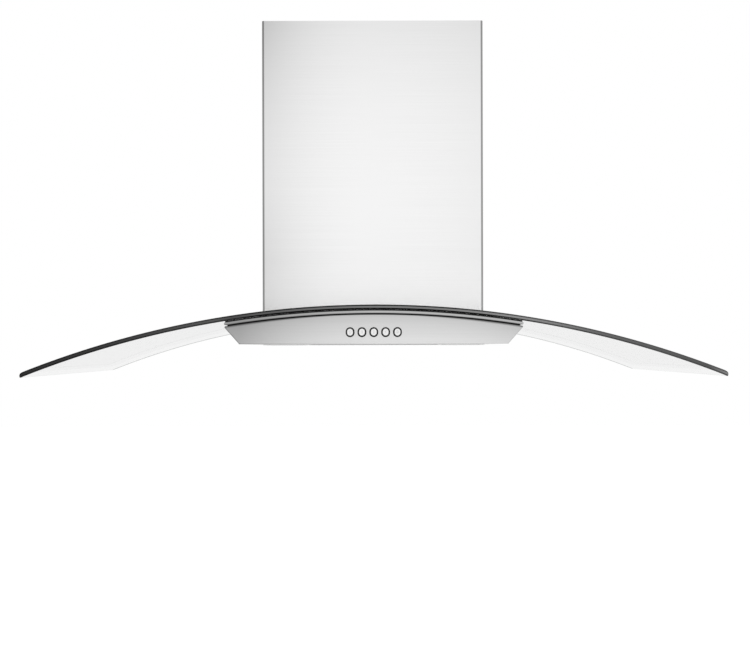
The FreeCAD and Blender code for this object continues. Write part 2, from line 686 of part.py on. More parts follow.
def filter_latch():
    """Slide with a tongue for the mouth's edge and a finger tab below, shown drawn back."""
    low = FILTER_Z + LATCH_FLOOR + LATCH_CLEARANCE
    half = LATCH_WIDTH / 2
    plate = box(-half, half, latch_back() - LATCH_LENGTH, latch_back(), low, low + LATCH_HEIGHT)
    tip = -MOUTH_FRONT + TONGUE_SHORT
    tongue = box(-TONGUE_WIDTH / 2, TONGUE_WIDTH / 2, tip, latch_back() - LATCH_LENGTH / 2,
                 low, low + LATCH_HEIGHT)
    tongue = tongue.makeFillet(LATCH_CLEARANCE, upright_edges(tongue, lambda at: at.y < tip + PAST))
    tab_front = latch_tab_front()
    tab = box(-LATCH_TAB_WIDTH / 2, LATCH_TAB_WIDTH / 2, tab_front, tab_front + LATCH_TAB_DEPTH,
              low - LATCH_TAB_DROP, low + LATCH_HEIGHT)
    tab = tab.makeFillet(LATCH_FLOOR, upright_edges(tab, lambda at: True))
    return joined([plate, tongue, tab])


def filter_hanger(side):
    """Ear beside the mouth with a slot, open above, that the filter's peg hangs in."""
    near = side * (MOUTH_WIDTH / 2 + PEG_CLEARANCE)
    ear_ends = sorted((near, near + side * EAR_SHEET))
    foot_ends = sorted((near, near + side * 2 * EAR_HALF_WIDTH))
    slot_ends = sorted((near - side, near + side * 2 * EAR_HALF_WIDTH))
    floor = BOTTOM + SHEET
    top = PEG_Z + EAR_OVER_PEG
    ear = box(*ear_ends, PEG_Y - EAR_HALF_WIDTH, PEG_Y + EAR_HALF_WIDTH, floor, top)
    foot = box(*foot_ends, PEG_Y - EAR_HALF_WIDTH, PEG_Y + EAR_HALF_WIDTH, floor, floor + SHEET)
    bore = PEG_RADIUS + PEG_CLEARANCE
    seat = rod(bore, V(slot_ends[0], PEG_Y, PEG_Z), V(slot_ends[1], PEG_Y, PEG_Z))
    way_in = box(*slot_ends, PEG_Y - bore, PEG_Y + bore, PEG_Z, top + PAST)
    return without(joined([ear, foot]), [seat, way_in])


# Fan box and blower

def fan_box():
    """Open-bottomed sheet box standing on the cradle, with the outlet hole and wall bolt holes."""
    outer = box(-BOX_HALF, BOX_HALF, BOX_FRONT, 0, BOTTOM, BOX_TOP)
    inner = box(-BOX_HALF + SHEET, BOX_HALF - SHEET, BOX_FRONT + SHEET, -SHEET, BOTTOM - PAST, BOX_CEILING)
    under = below_arch(CRADLE_TOP, FAN_BOX_WIDTH, BOX_FRONT - PAST, PAST, BOTTOM - PAST)
    outlet = rod(COLLAR_BORE, V(0, COLLAR_Y, BOX_CEILING - PAST), V(0, COLLAR_Y, BOX_TOP + PAST))
    bolts = []
    for x in (-WALL_BOLT_SPACING_X / 2, WALL_BOLT_SPACING_X / 2):
        for z in (-WALL_BOLT_SPACING_Z / 2, WALL_BOLT_SPACING_Z / 2):
            bolts.append(rod(WALL_BOLT_HOLE, V(x, -2 * SHEET, z), V(x, SHEET, z)))
    return without(outer, [inner, under, outlet] + bolts)


def spiral_point(angle, extra):
    """Point of the scroll's spiral; the angle is from the top towards the wall."""
    turned = (angle + SCROLL_TONGUE) / (270 + SCROLL_TONGUE)
    radius = SCROLL_START + (SCROLL_END - SCROLL_START) * turned + extra
    bearing = math.radians(angle)
    return V(0, FAN_Y + radius * math.sin(bearing), FAN_Z + radius * math.cos(bearing))


def scroll_outline(extra):
    """Closed outline of the scroll and its outlet, drawn out by the extra."""
    forward = SCROLL_START * math.sin(math.radians(SCROLL_TONGUE)) - extra
    first = -math.degrees(math.asin(forward / (SCROLL_START + extra)))
    sweep = (270 - first) / SCROLL_ARCS
    edges = []
    for index in range(SCROLL_ARCS):
        start = first + sweep * index
        points = [spiral_point(start + sweep * share, extra) for share in (0, 0.5, 1)]
        edges.append(Part.Arc(*points).toShape())
    tongue = spiral_point(first, extra)
    front = spiral_point(270, extra)
    top_front = V(0, front.y, SCROLL_TOP)
    top_back = V(0, tongue.y, SCROLL_TOP)
    edges.append(line(front, top_front))
    edges.append(line(top_front, top_back))
    edges.append(line(top_back, tongue))
    return Part.Face(Part.Wire(edges))


def scroll_prism(extra, x0, x1):
    face = scroll_outline(extra)
    face.translate(V(x0, 0, 0))
    return face.extrude(V(x1 - x0, 0, 0))


def scroll_band():
    """Spiral wall of the blower, open at its throat."""
    outer = scroll_prism(SCROLL_WALL, -SCROLL_HALF, SCROLL_HALF)
    inner = scroll_prism(0, -SCROLL_HALF - PAST, SCROLL_HALF + PAST)
    return outer.cut(inner)


def scroll_side(side):
    """Flat cheek of the blower with its round inlet."""
    near = side * SCROLL_HALF
    far = side * SCROLL_OUTSIDE
    cheek = scroll_prism(SCROLL_WALL, min(near, far), max(near, far))
    hole = rod(INLET_RADIUS + INLET_WALL, V(near - side, FAN_Y, FAN_Z), V(far + side, FAN_Y, FAN_Z))
    return cheek.cut(hole)


def inlet_ring(side):
    """Sleeve with a flared mouth that seats in the cheek's hole."""
    throat = SCROLL_HALF - INLET_WALL
    mouth = SCROLL_OUTSIDE + INLET_FLARE
    wall = V(0, INLET_WALL, 0)
    inside = [
        V(throat, INLET_RADIUS, 0),
        V(SCROLL_OUTSIDE, INLET_RADIUS, 0),
        V(mouth, INLET_RADIUS + INLET_FLARE, 0),
    ]
    outside = [point + wall for point in reversed(inside)]
    ring = polygon(inside + outside).revolve(V(0, 0, 0), X_AXIS, 360)
    if side < 0:
        ring = ring.mirror(V(0, 0, 0), X_AXIS)
    ring.translate(V(0, FAN_Y, FAN_Z))
    return ring


def blade_outline():
    """Section of one forward-curved blade, bowed from heel to tip in short runs."""
    heel = IMPELLER_RADIUS - BLADE_CHORD

    def at(share, offset):
        radius = heel + BLADE_CHORD * share
        bow = 4 * BLADE_CAMBER * share * (1 - share)
        angle = math.radians(BLADE_SWEEP) * share + (offset - bow) / radius
        return V(0, radius * math.sin(angle), radius * math.cos(angle))

    shares = [run / BLADE_RUNS for run in range(BLADE_RUNS + 1)]
    low = [at(share, -BLADE_THICKNESS / 2) for share in shares]
    high = [at(share, BLADE_THICKNESS / 2) for share in reversed(shares)]
    return polygon(low + high)


def impeller_plate():
    """Centre plate of the double-width wheel, with its hub."""
    radius = IMPELLER_RADIUS - BLADE_THICKNESS
    plate = rod(radius, V(-IMPELLER_PLATE / 2, 0, 0), V(IMPELLER_PLATE / 2, 0, 0))
    hub = rod(HUB_RADIUS, V(-HUB_LENGTH / 2, 0, 0), V(HUB_LENGTH / 2, 0, 0))
    bore = rod(SHAFT_RADIUS, V(-HUB_LENGTH, 0, 0), V(HUB_LENGTH, 0, 0))
    wheel = joined([plate, hub]).cut(bore)
    wheel.translate(V(0, FAN_Y, FAN_Z))
    return wheel


def impeller_cage(side):
    """Squirrel cage on one side of the plate: forward-curved blades crimped in an end ring."""
    near = IMPELLER_PLATE / 2
    far = IMPELLER_WIDTH / 2
    ring = tube(IMPELLER_RADIUS, IMPELLER_RADIUS - RING_WIDTH, V(far - IMPELLER_PLATE, 0, 0), V(far, 0, 0))
    blade = blade_outline()
    blade.translate(V(near, 0, 0))
    blade = blade.extrude(V(far - IMPELLER_PLATE / 2 - near, 0, 0))
    blades = []
    for index in range(BLADE_COUNT):
        copy = blade.copy()
        copy.rotate(V(0, 0, 0), X_AXIS, 360 * index / BLADE_COUNT)
        blades.append(copy)
    cage = ring.multiFuse(blades)
    if side < 0:
        cage = cage.mirror(V(0, 0, 0), X_AXIS)
    cage.translate(V(0, FAN_Y, FAN_Z))
    return cage


def motor_shaft():
    """Steel shaft through the motor, fixed in the impeller's hub."""
    start = V(MOTOR_FAR - SPIDER_SHEET - SHAFT_OVERHANG, FAN_Y, FAN_Z)
    return rod(SHAFT_RADIUS, start, V(HUB_LENGTH / 2 + SHAFT_OVERHANG, FAN_Y, FAN_Z))


def motor():
    """Round motor with stepped end caps and a through bore."""
    def at(x):
        return V(x, FAN_Y, FAN_Z)

    body = rod(MOTOR_RADIUS, at(MOTOR_FAR + MOTOR_CAP_LENGTH), at(MOTOR_NEAR - MOTOR_CAP_LENGTH))
    core = rod(MOTOR_RADIUS - MOTOR_CAP_STEP, at(MOTOR_FAR), at(MOTOR_NEAR))
    rims = edges_where(core, lambda middle, way: abs(way.x) < ALONG)
    core = core.makeChamfer(MOTOR_CAP_STEP, rims)
    bore = rod(SHAFT_RADIUS + SHAFT_CLEARANCE, at(MOTOR_FAR - PAST), at(MOTOR_NEAR + PAST))
    return joined([body, core]).cut(bore)


def motor_bracket():
    """Spider with bent feet that holds the motor in the left inlet."""
    face = MOTOR_FAR
    disc = rod(SPIDER_DISC_RADIUS, V(face - SPIDER_SHEET, 0, 0), V(face, 0, 0))
    parts = [disc]
    for index in range(SPIDER_ARMS):
        half = SPIDER_ARM_WIDTH / 2
        arm = box(face - SPIDER_SHEET, face, -half, half,
                  SPIDER_DISC_RADIUS / 2, SPIDER_FOOT_RADIUS + SPIDER_FOOT)
        leg = box(face - SPIDER_SHEET, -SCROLL_OUTSIDE, -half, half,
                  SPIDER_FOOT_RADIUS, SPIDER_FOOT_RADIUS + SPIDER_FOOT)
        limb = arm.fuse(leg)
        limb.rotate(V(0, 0, 0), X_AXIS, 360 * index / SPIDER_ARMS + 180)
        parts.append(limb)
    spider = joined(parts)
    bore = SHAFT_RADIUS + 4 * SHAFT_CLEARANCE
    spider = spider.cut(rod(bore, V(face - 2 * SPIDER_SHEET, 0, 0), V(face + PAST, 0, 0)))
    spider.translate(V(0, FAN_Y, FAN_Z))
    return spider


def outlet_adaptor():
    """Square-to-round throat from the scroll to the collar, folded from flat triangles."""
    def skin(extra):
        back = spiral_point(-SCROLL_TONGUE, 0).y + extra
        front = spiral_point(270, 0).y - extra
        half = SCROLL_HALF + extra
        corners = [V(half, back, SCROLL_TOP), V(-half, back, SCROLL_TOP),
                   V(-half, front, SCROLL_TOP), V(half, front, SCROLL_TOP)]
        radius = COLLAR_BORE + extra
        count = 4 * ADAPTOR_FOLDS
        rim = []
        for index in range(count):
            angle = 2 * math.pi * index / count
            rim.append(V(radius * math.cos(angle), COLLAR_Y + radius * math.sin(angle), BOX_CEILING))
        faces = [polygon(corners), polygon(rim)]
        for index in range(count):
            corner = corners[index // ADAPTOR_FOLDS]
            faces.append(polygon([corner, rim[index], rim[(index + 1) % count]]))
        for quarter in range(4):
            faces.append(polygon([corners[quarter - 1], corners[quarter], rim[quarter * ADAPTOR_FOLDS]]))
        return Part.makeSolid(Part.makeShell(faces))

    return skin(COLLAR_WALL).cut(skin(0))


def outlet_collar():
    """Duct collar with its flange, pin bosses and the ledge that the flaps close on."""
    half = COLLAR_FLANGE_WIDTH / 2
    half_depth = COLLAR_FLANGE_DEPTH / 2
    flange = box(-half, half, COLLAR_Y - half_depth, COLLAR_Y + half_depth, BOX_TOP, COLLAR_FOOT)
    flange = flange.makeFillet(PIN_BOSS_RADIUS, upright_edges(flange, lambda at: True))
    top = COLLAR_FOOT + COLLAR_HEIGHT
    spigot = rod(COLLAR_RADIUS, V(0, COLLAR_Y, BOX_TOP), V(0, COLLAR_Y, top))
    bore = rod(COLLAR_BORE, V(0, COLLAR_Y, BOX_TOP - PAST), V(0, COLLAR_Y, top + PAST))
    ledge_top = PIN_Z - FLAP_THICKNESS / 2 - FLAP_SEAT_GAP
    ledge = tube(COLLAR_BORE + COLLAR_WALL / 2, COLLAR_BORE - LEDGE_WIDTH,
                 V(0, COLLAR_Y, ledge_top - LEDGE_HEIGHT), V(0, COLLAR_Y, ledge_top))
    parts = [joined([flange, spigot]).cut(bore), ledge]
    for side in (-1, 1):
        inner = V(side * (COLLAR_BORE - PIN_BOSS_LENGTH), COLLAR_Y, PIN_Z)
        outer = V(side * (COLLAR_BORE + COLLAR_WALL / 2), COLLAR_Y, PIN_Z)
        parts.append(rod(PIN_BOSS_RADIUS, inner, outer))
    seat = COLLAR_BORE - PIN_BOSS_LENGTH + PIN_SEAT
    pin_hole = rod(PIN_RADIUS, V(-seat, COLLAR_Y, PIN_Z), V(seat, COLLAR_Y, PIN_Z))
    return joined(parts).cut(pin_hole)


def damper_pin():
    """Pin across the collar that both flaps swing on."""
    seat = COLLAR_BORE - PIN_BOSS_LENGTH + PIN_SEAT
    return rod(PIN_RADIUS, V(-seat, COLLAR_Y, PIN_Z), V(seat, COLLAR_Y, PIN_Z))


def damper_flap(side):
    """Half-round flap with two knuckles; the side is +1 towards the wall, -1 towards the room."""
    radius = COLLAR_BORE - FLAP_RIM_CLEARANCE
    low = V(0, 0, -FLAP_THICKNESS / 2)
    disc = rod(radius, low, low + Z_AXIS * FLAP_THICKNESS)
    keep = box(-radius, radius, FLAP_START, radius + PAST, -FLAP_THICKNESS, FLAP_THICKNESS)
    parts = [disc.common(keep)]
    for centre in (-KNUCKLE_OUTER, KNUCKLE_INNER):
        start = centre - KNUCKLE_LENGTH / 2
        parts.append(rod(KNUCKLE_RADIUS, V(start, 0, 0), V(start + KNUCKLE_LENGTH, 0, 0)))
        parts.append(box(start, start + KNUCKLE_LENGTH, PIN_RADIUS, FLAP_START + PAST,
                         -FLAP_THICKNESS / 2, FLAP_THICKNESS / 2))
    flap = joined(parts)
    reach = V(radius, 0, 0)
    flap = flap.cut(rod(PIN_RADIUS + KNUCKLE_CLEARANCE, V(0, 0, 0) - reach, reach))
    if side < 0:
        flap.rotate(V(0, 0, 0), Z_AXIS, 180)
    flap.translate(V(0, COLLAR_Y, PIN_Z))
    return flap


# Electrics

def terminal_place():
    """Low corner of the terminal box on the fan box's top, right of the collar."""
    return V(BOX_HALF - TERMINAL_WIDTH - 2 * SHEET, -TERMINAL_SETBACK - TERMINAL_LENGTH, BOX_TOP)


def terminal_box():
    """Open moulded box for the mains terminals."""
    low = terminal_place()
    wall = TERMINAL_WALL
    outer = Part.makeBox(TERMINAL_WIDTH, TERMINAL_LENGTH, TERMINAL_HEIGHT, low)
    outer = outer.makeFillet(wall, upright_edges(outer, lambda at: True))
    inner = Part.makeBox(TERMINAL_WIDTH - 2 * wall, TERMINAL_LENGTH - 2 * wall,
                         TERMINAL_HEIGHT, low + V(wall, wall, wall))
    return outer.cut(inner)


def gland_place():
    """Foot of the cable gland, on the lid."""
    return terminal_place() + V(TERMINAL_WIDTH / 2, GLAND_ALONG, TERMINAL_HEIGHT + TERMINAL_LID)


def terminal_lid():
    """Lid with the gland's hole."""
    low = terminal_place() + Z_AXIS * TERMINAL_HEIGHT
    lid = Part.makeBox(TERMINAL_WIDTH, TERMINAL_LENGTH, TERMINAL_LID, low)
    lid = lid.makeFillet(TERMINAL_WALL, upright_edges(lid, lambda at: True))
    at = gland_place()
    return lid.cut(rod(GLAND_BORE, at - Z_AXIS * 2 * TERMINAL_LID, at + Z_AXIS))


def cable_gland():
    """Six-sided gland with a domed nut, standing over the lid's hole."""
    at = gland_place()
    hexagon = []
    for index in range(GLAND_SIDES):
        angle = 2 * math.pi * index / GLAND_SIDES
        hexagon.append(at + V(GLAND_RADIUS * math.cos(angle), GLAND_RADIUS * math.sin(angle), 0))
    base = polygon(hexagon).extrude(Z_AXIS * GLAND_HEIGHT / 2)
    top = at + Z_AXIS * GLAND_HEIGHT
    nut = rod(GLAND_NUT_RADIUS, at + Z_AXIS * GLAND_HEIGHT / 2, top)
    crown = edges_where(nut, lambda middle, way: middle.z > top.z - SEAT_GAP)
    nut = nut.makeChamfer(TERMINAL_WALL, crown[:1])
    return joined([base, nut]).cut(rod(GLAND_BORE, at - Z_AXIS, top + Z_AXIS))


def capacitor_axis():
    """Centre of the capacitor's front end, left of the collar."""
    radius = CAPACITOR_RADIUS
    across = -BOX_HALF + radius + 4 * SHEET
    return V(across, -TERMINAL_SETBACK - TERMINAL_LENGTH, BOX_TOP + radius + CAPACITOR_CLIP_SHEET)


def capacitor():
    """Motor capacitor lying on the fan box."""
    start = capacitor_axis()
    can = rod(CAPACITOR_RADIUS, start, start + Y_AXIS * CAPACITOR_LENGTH)
    return can.makeChamfer(TERMINAL_WALL, edges_where(can, lambda middle, way: abs(way.y) < ALONG))


def capacitor_clip():
    """Spring clip round the lower half of the capacitor, screwed to the box."""
    start = capacitor_axis() + Y_AXIS * (CAPACITOR_LENGTH - CAPACITOR_CLIP_WIDTH) / 2
    end = start + Y_AXIS * CAPACITOR_CLIP_WIDTH
    outer = CAPACITOR_RADIUS + CAPACITOR_CLIP_SHEET
    cradle = tube(outer, CAPACITOR_RADIUS, start, end)
    above = box(start.x - outer, start.x + outer, start.y - PAST, end.y + PAST,
                start.z + CAPACITOR_RADIUS / 2, start.z + outer + PAST)
    return cradle.cut(above)


# Chimney

def cover(half_width, front, back, low, high, flange):
    """Three-sided folded cover with rear flanges turned inwards."""
    outer = box(-half_width, half_width, front, back, low, high)
    outer = outer.makeFillet(CHIMNEY_BEND, upright_edges(outer, lambda at: at.y < back - PAST))
    wall = CHIMNEY_SHEET
    inner = box(-half_width + wall, half_width - wall, front + wall, back - wall, low - PAST, high + PAST)
    inner = inner.makeFillet(CHIMNEY_BEND - wall, upright_edges(inner, lambda at: at.y < back - wall - PAST))
    open_half = half_width - flange
    gap = box(-open_half, open_half, back - 2 * wall, back + PAST, low - PAST, high + PAST)
    return without(outer, [inner, gap])


def chimney_lower():
    """Fixed cover whose lower edge follows the glass."""
    top = BOTTOM + CHIMNEY_TOP
    sleeve = cover(CHIMNEY_WIDTH / 2, -CHIMNEY_DEPTH, 0, BOTTOM, top, CHIMNEY_FLANGE)
    front = -CHIMNEY_DEPTH - PAST
    under = below_arch(GLASS_RADIUS + CHIMNEY_GLASS_GAP, CHIMNEY_WIDTH, front, PAST, BOTTOM - PAST)
    return sleeve.cut(under)


def chimney_upper():
    """Inner cover that slides up out of the lower one to meet the ceiling."""
    flange = CHIMNEY_FLANGE - CHIMNEY_SHEET
    return cover(UPPER_HALF, -UPPER_DEPTH, UPPER_BACK, UPPER_BOTTOM, UPPER_TOP, flange)


def chimney_bracket():
    """Channel across the back of the upper cover, with two wall holes."""
    half = UPPER_HALF - CHIMNEY_SHEET
    top = UPPER_TOP - BRACKET_DROP
    front = UPPER_BACK - CHIMNEY_SHEET
    web = box(-half, half, front - BRACKET_SHEET, front, top - BRACKET_HEIGHT, top)
    shelf = box(-half, half, front - BRACKET_DEPTH / 2, front, top - BRACKET_SHEET, top)
    ears = []
    holes = []
    for side in (-1, 1):
        ends = sorted((side * half, side * (half - BRACKET_SHEET)))
        ears.append(box(*ends, front - BRACKET_DEPTH, front, top - BRACKET_HEIGHT, top))
        at = V(side * BRACKET_BOLT_SPACING / 2, front - BRACKET_DEPTH, top - BRACKET_HEIGHT / 2)
        holes.append(rod(BRACKET_HOLE, at, at + Y_AXIS * 2 * BRACKET_DEPTH))
    return without(joined([web, shelf] + ears), holes)


def glass_clamp_frame():
    """Frame round the fan box that holds the glass down and carries the lower cover."""
    under = GLASS_RADIUS + CLAMP_GLASS_GAP
    half = CHIMNEY_WIDTH / 2 - CHIMNEY_SHEET
    front = -CHIMNEY_DEPTH + CHIMNEY_SHEET
    plate = arch_slab(under, under + CLAMP_SHEET, half, front, -2 * SHEET)
    corners = edges_where(plate, lambda at, way: at.y < front + PAST and abs(at.x) > half - PAST)
    plate = plate.makeFillet(CHIMNEY_BEND, corners)
    room = fan_window(BOX_FLANGE_GAP)
    upstands = []
    top = UPPER_BOTTOM - CLAMP_SHEET
    for side in (-1, 1):
        ends = sorted((side * half, side * (half - CLAMP_SHEET)))
        upstands.append(box(*ends, front + CHIMNEY_BEND, front + CLAMP_POST,
                            arch_z(under, half) + CLAMP_SHEET / 2, top))
    return joined([plate] + upstands).cut(room)


def sub_parts():
    """Every node's name with its solid or solids."""
    nodes = {
        "glass_canopy": glass_canopy(),
        "glass_gasket": glass_gasket(),
        "canopy_cradle": canopy_cradle(),
        "body_shell": body_shell(),
        "front_panel": front_panel(),
        "button_bezels": Part.makeCompound(button_bezels()),
        "switch_block": switch_block(),
        "switch_bracket": switch_bracket(),
        "lamp_driver": lamp_driver(),
        "filter_frame": filter_frame(),
        "filter_mesh": filter_mesh(),
        "filter_latch": filter_latch(),
        "fan_box": fan_box(),
        "scroll_band": scroll_band(),
        "impeller_plate": impeller_plate(),
        "motor_shaft": motor_shaft(),
        "motor": motor(),
        "motor_bracket": motor_bracket(),
        "outlet_adaptor": outlet_adaptor(),
        "outlet_collar": outlet_collar(),
        "damper_pin": damper_pin(),
        "damper_flap_rear": damper_flap(1),
        "damper_flap_front": damper_flap(-1),
        "terminal_box": terminal_box(),
        "terminal_lid": terminal_lid(),
        "cable_gland": cable_gland(),
        "capacitor": capacitor(),
        "capacitor_clip": capacitor_clip(),
        "glass_clamp_frame": glass_clamp_frame(),
        "chimney_lower": chimney_lower(),
        "chimney_upper": chimney_upper(),
        "chimney_bracket": chimney_bracket(),
    }
    for place, name in zip(lamp_places(), ("left", "right")):
        nodes["lamp_bezel_" + name] = lamp_bezel(place)
        nodes["lamp_lens_" + name] = lamp_lens(place)
        nodes["lamp_housing_" + name] = lamp_housing(place)
    for side, name in ((-1, "left"), (1, "right")):
        nodes["impeller_" + name] = impeller_cage(side)
        nodes["scroll_side_" + name] = scroll_side(side)
        nodes["inlet_ring_" + name] = inlet_ring(side)
        nodes["filter_hanger_" + name] = filter_hanger(side)
    functions = ("lamp", "speed_3", "speed_2", "speed_1", "off")
    for x, function in zip(button_places(), functions):
        nodes["button_" + function] = push_button(x)
    return nodes


os.makedirs("parts", exist_ok=True)
for name, shape in sub_parts().items():
    shape.exportStep("parts/" + name + ".step")
    print(name, len(shape.Solids), shape.isValid(), round(shape.Volume))
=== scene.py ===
import bpy
import bmesh
import math
from mathutils import Matrix, Vector
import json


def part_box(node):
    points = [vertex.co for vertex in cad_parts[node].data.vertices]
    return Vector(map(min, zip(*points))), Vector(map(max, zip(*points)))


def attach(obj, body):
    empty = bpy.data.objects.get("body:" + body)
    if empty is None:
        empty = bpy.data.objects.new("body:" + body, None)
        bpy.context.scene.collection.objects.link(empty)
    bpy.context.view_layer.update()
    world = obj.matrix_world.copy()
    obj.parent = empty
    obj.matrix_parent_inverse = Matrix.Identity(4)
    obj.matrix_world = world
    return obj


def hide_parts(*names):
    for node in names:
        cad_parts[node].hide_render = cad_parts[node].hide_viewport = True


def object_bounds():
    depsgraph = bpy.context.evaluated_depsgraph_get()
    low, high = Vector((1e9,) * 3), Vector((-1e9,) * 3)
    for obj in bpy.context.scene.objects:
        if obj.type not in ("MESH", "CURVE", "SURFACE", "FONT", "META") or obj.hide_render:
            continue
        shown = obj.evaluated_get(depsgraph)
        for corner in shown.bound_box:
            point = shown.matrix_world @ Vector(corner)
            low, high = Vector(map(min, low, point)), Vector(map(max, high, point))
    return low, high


# The hood's looks: finishes, smooth pieces over the frame, floor, lamps and camera.
# Metres, in the frame's axes: the wall is y = 0, the room is at -Y, +Z is up.

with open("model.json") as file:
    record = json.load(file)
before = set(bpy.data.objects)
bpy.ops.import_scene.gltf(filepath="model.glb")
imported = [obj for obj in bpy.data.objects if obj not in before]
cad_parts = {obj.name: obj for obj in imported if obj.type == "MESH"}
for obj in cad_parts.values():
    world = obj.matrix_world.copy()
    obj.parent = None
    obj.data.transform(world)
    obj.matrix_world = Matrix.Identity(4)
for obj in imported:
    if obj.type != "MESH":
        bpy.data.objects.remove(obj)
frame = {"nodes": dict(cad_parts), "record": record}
cad_low, cad_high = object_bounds()

MM = 0.001

# Glass canopy
BOTTOM = -180.0 * MM  # the body's flat bottom
GLASS_RADIUS = 1215.0 * MM  # outer face of the arch
GLASS_THICKNESS = 6.0 * MM
GLASS_HALF = 450.0 * MM
GLASS_DEPTH = 500.0 * MM
GLASS_CROWN = 50.0 * MM  # top of the arch over the flat bottom
GLASS_CORNER = 8.0 * MM
GLASS_EDGE = 2.6 * MM  # round of the polished rim
GLASS_CUTS = 90  # bends across the hood
GLASS_FLAT = 0.97  # upright share of a normal that counts as a flat face
NOTCH_HALF = 154.0 * MM
NOTCH_DEPTH = 230.0 * MM
NOTCH_CORNER = 10.0 * MM
ARCH_Z = BOTTOM + GLASS_CROWN - GLASS_RADIUS
GLASS_MIDDLE = GLASS_RADIUS - GLASS_THICKNESS / 2
GLASS_UNDER = GLASS_RADIUS - GLASS_THICKNESS

# Steel strip and control panel, radii about the arch
LIP_FACE = -493.5 * MM  # where the front's painted highlight and shade start
LIP_MIDDLE = 1205.9 * MM
PANEL_FRONT = -496.0 * MM
PANEL_ARC = 1202.5 * MM
PANEL_FOOT_HALF = 170.5 * MM
PANEL_SLOPE = 18.5 / 21.0

# Buttons
BUTTON_NAMES = ("lamp", "speed_3", "speed_2", "speed_1", "off")
BUTTON_Z = BOTTOM + 15.0 * MM
BUTTON_PITCH = 15.0 * MM
BUTTON_PLACES = [(index - 2) * BUTTON_PITCH for index in range(len(BUTTON_NAMES))]
BUTTON_HALF_WIDTH = 4.6 * MM
BUTTON_HALF_HEIGHT = 5.3 * MM
BUTTON_FRONT = PANEL_FRONT - 3.6 * MM
BUTTON_BACK = PANEL_FRONT + 3.2 * MM
CAP_ROUND = 0.9 * MM
CAP_DISH = ((3.4, 0.22), (2.6, 0.16), (1.8, 0.05), (1.2, 0.0))  # (inset, depth) in mm
CAP_RIM = 3.5 * MM  # where the painted shade of the rim starts
PLATE_FRONT = PANEL_FRONT + 2.0 * MM
PLATE_SHEET = 1.2 * MM
STEM_HALF = 2.0 * MM
MARK_FRONT = BUTTON_FRONT + 0.16 * MM
MARK_HALF_DEPTH = 0.05 * MM
LETTER_SIZE = 5.0 * MM
LETTER_HALF_DEPTH = 0.03 * MM
SIGN_OUTER, SIGN_INNER = 1.45 * MM, 1.2 * MM
# (outside the cap, behind the panel's face) in mm
RING_SECTION = ((0.2, 1.8), (0.2, -0.4), (0.35, -0.6), (0.85, -0.6), (1.0, -0.4), (1.0, 1.8))

# Rubber strips: the seal under the glass, and a dark liner that stands in for shadow in the panel's gap
SEAL_SHORT = 1.5 * MM  # end of the seal to the steel strip's
SEAL_LAP = 1.0 * MM  # over the gasket's front
SEAL_TOP, SEAL_FOOT = -0.05, 1.6  # under the glass, in mm
SEAL_FACE = ((3.7, SEAL_FOOT), (2.8, 1.3), (2.2, 0.7), (2.2, SEAL_TOP))  # (behind the edge, under the glass)
LINER_FRONT = PANEL_FRONT + 1.3 * MM
LINER_SHEET = 0.8 * MM
LINER_DROP = 2.0 * MM  # below the panel's top
LINER_RISE = 1.6 * MM  # above it
LINER_SHORT = 3.2 * MM  # its end to the shell's side

# Grease filter, in mm
FILTER_LAYERS = ((0.9, 9.0, 0.55), (2.6, 7.0, 0.45), (4.4, 9.0, 0.5))  # level, cell width, strand radius
CELL_RATIO = 0.62  # cell length over width
STRAND_SWING = 0.52  # zigzag over cell length, so that strands touch
LATCH_BLOCK_HALF = 32.4 * MM
LATCH_BLOCK_DEPTH = 36.6 * MM

# Lamps, as (along, radius) in mm
LAMP_X = 115.0 * MM
LAMP_Y = -445.0 * MM
LAMP_RIM = ((-1.5, 24.6), (-1.5, 25.2), (-1.4, 29.6), (-1.1, 30.5), (-0.6, 31.0), (0.0, 31.0), (0.0, 25.8),
            (3.0, 25.8), (3.0, 24.6))
LAMP_DOME = ((3.0, 24.4), (-0.6, 24.4), (-0.95, 24.1), (-1.2, 22.5), (-1.38, 17.0), (-1.46, 9.0),
             (-1.48, 2.0))

# Blower, as (along the shaft, radius) in mm
FAN_CENTRE = Vector((0.0, -122.0 * MM, -30.0 * MM))
WHEEL_RING = ((55.5, 60.0), (57.0, 60.0), (57.0, 70.0), (55.0, 70.0), (55.0, 69.2), (55.5, 69.0))
BLADE_MIDDLE = 28.45 * MM  # from the wheel's middle plate
BLADE = {"Blades": 36, "Heel": 59.0 * MM, "Chord": 10.9 * MM, "Camber": 2.2 * MM,
         "Sweep": math.radians(7.0), "Length": 55.4 * MM, "Thickness": 0.8 * MM}
INLET_END = 59.3
INLET_BEND = 62.0
INLET_RADIUS = 57.0
INLET_FLARE = 5.0
INLET_WALL = 1.2
INLET_LIP = ((66.6, 63.2), (65.8, 63.0))
INLET_STEPS = 8
MOTOR_END = ((-14.0, 4.1), (-14.0, 33.0), (-15.2, 35.6), (-18.0, 37.6), (-24.0, 38.0), (-24.0, 41.6),
             (-24.4, 42.0))
MOTOR_MIDDLE = -41.0
MOTOR_RIBS = 7
RIB_START = -27.0
RIB_PITCH = 4.8
RIB_GROOVE = ((0.0, 42.0), (0.5, 40.2), (1.9, 40.2), (2.4, 42.0))

# Capacitor, as (from its end, under its side) in mm
CAN_FOOT = ((0.0, 4.5), (0.0, 2.5), (0.4, 1.0), (1.6, 0.0))
CAN_TOP = ((3.0, 0.0), (1.2, 0.3), (0.3, 1.4), (0.0, 3.0), (0.0, 8.0))

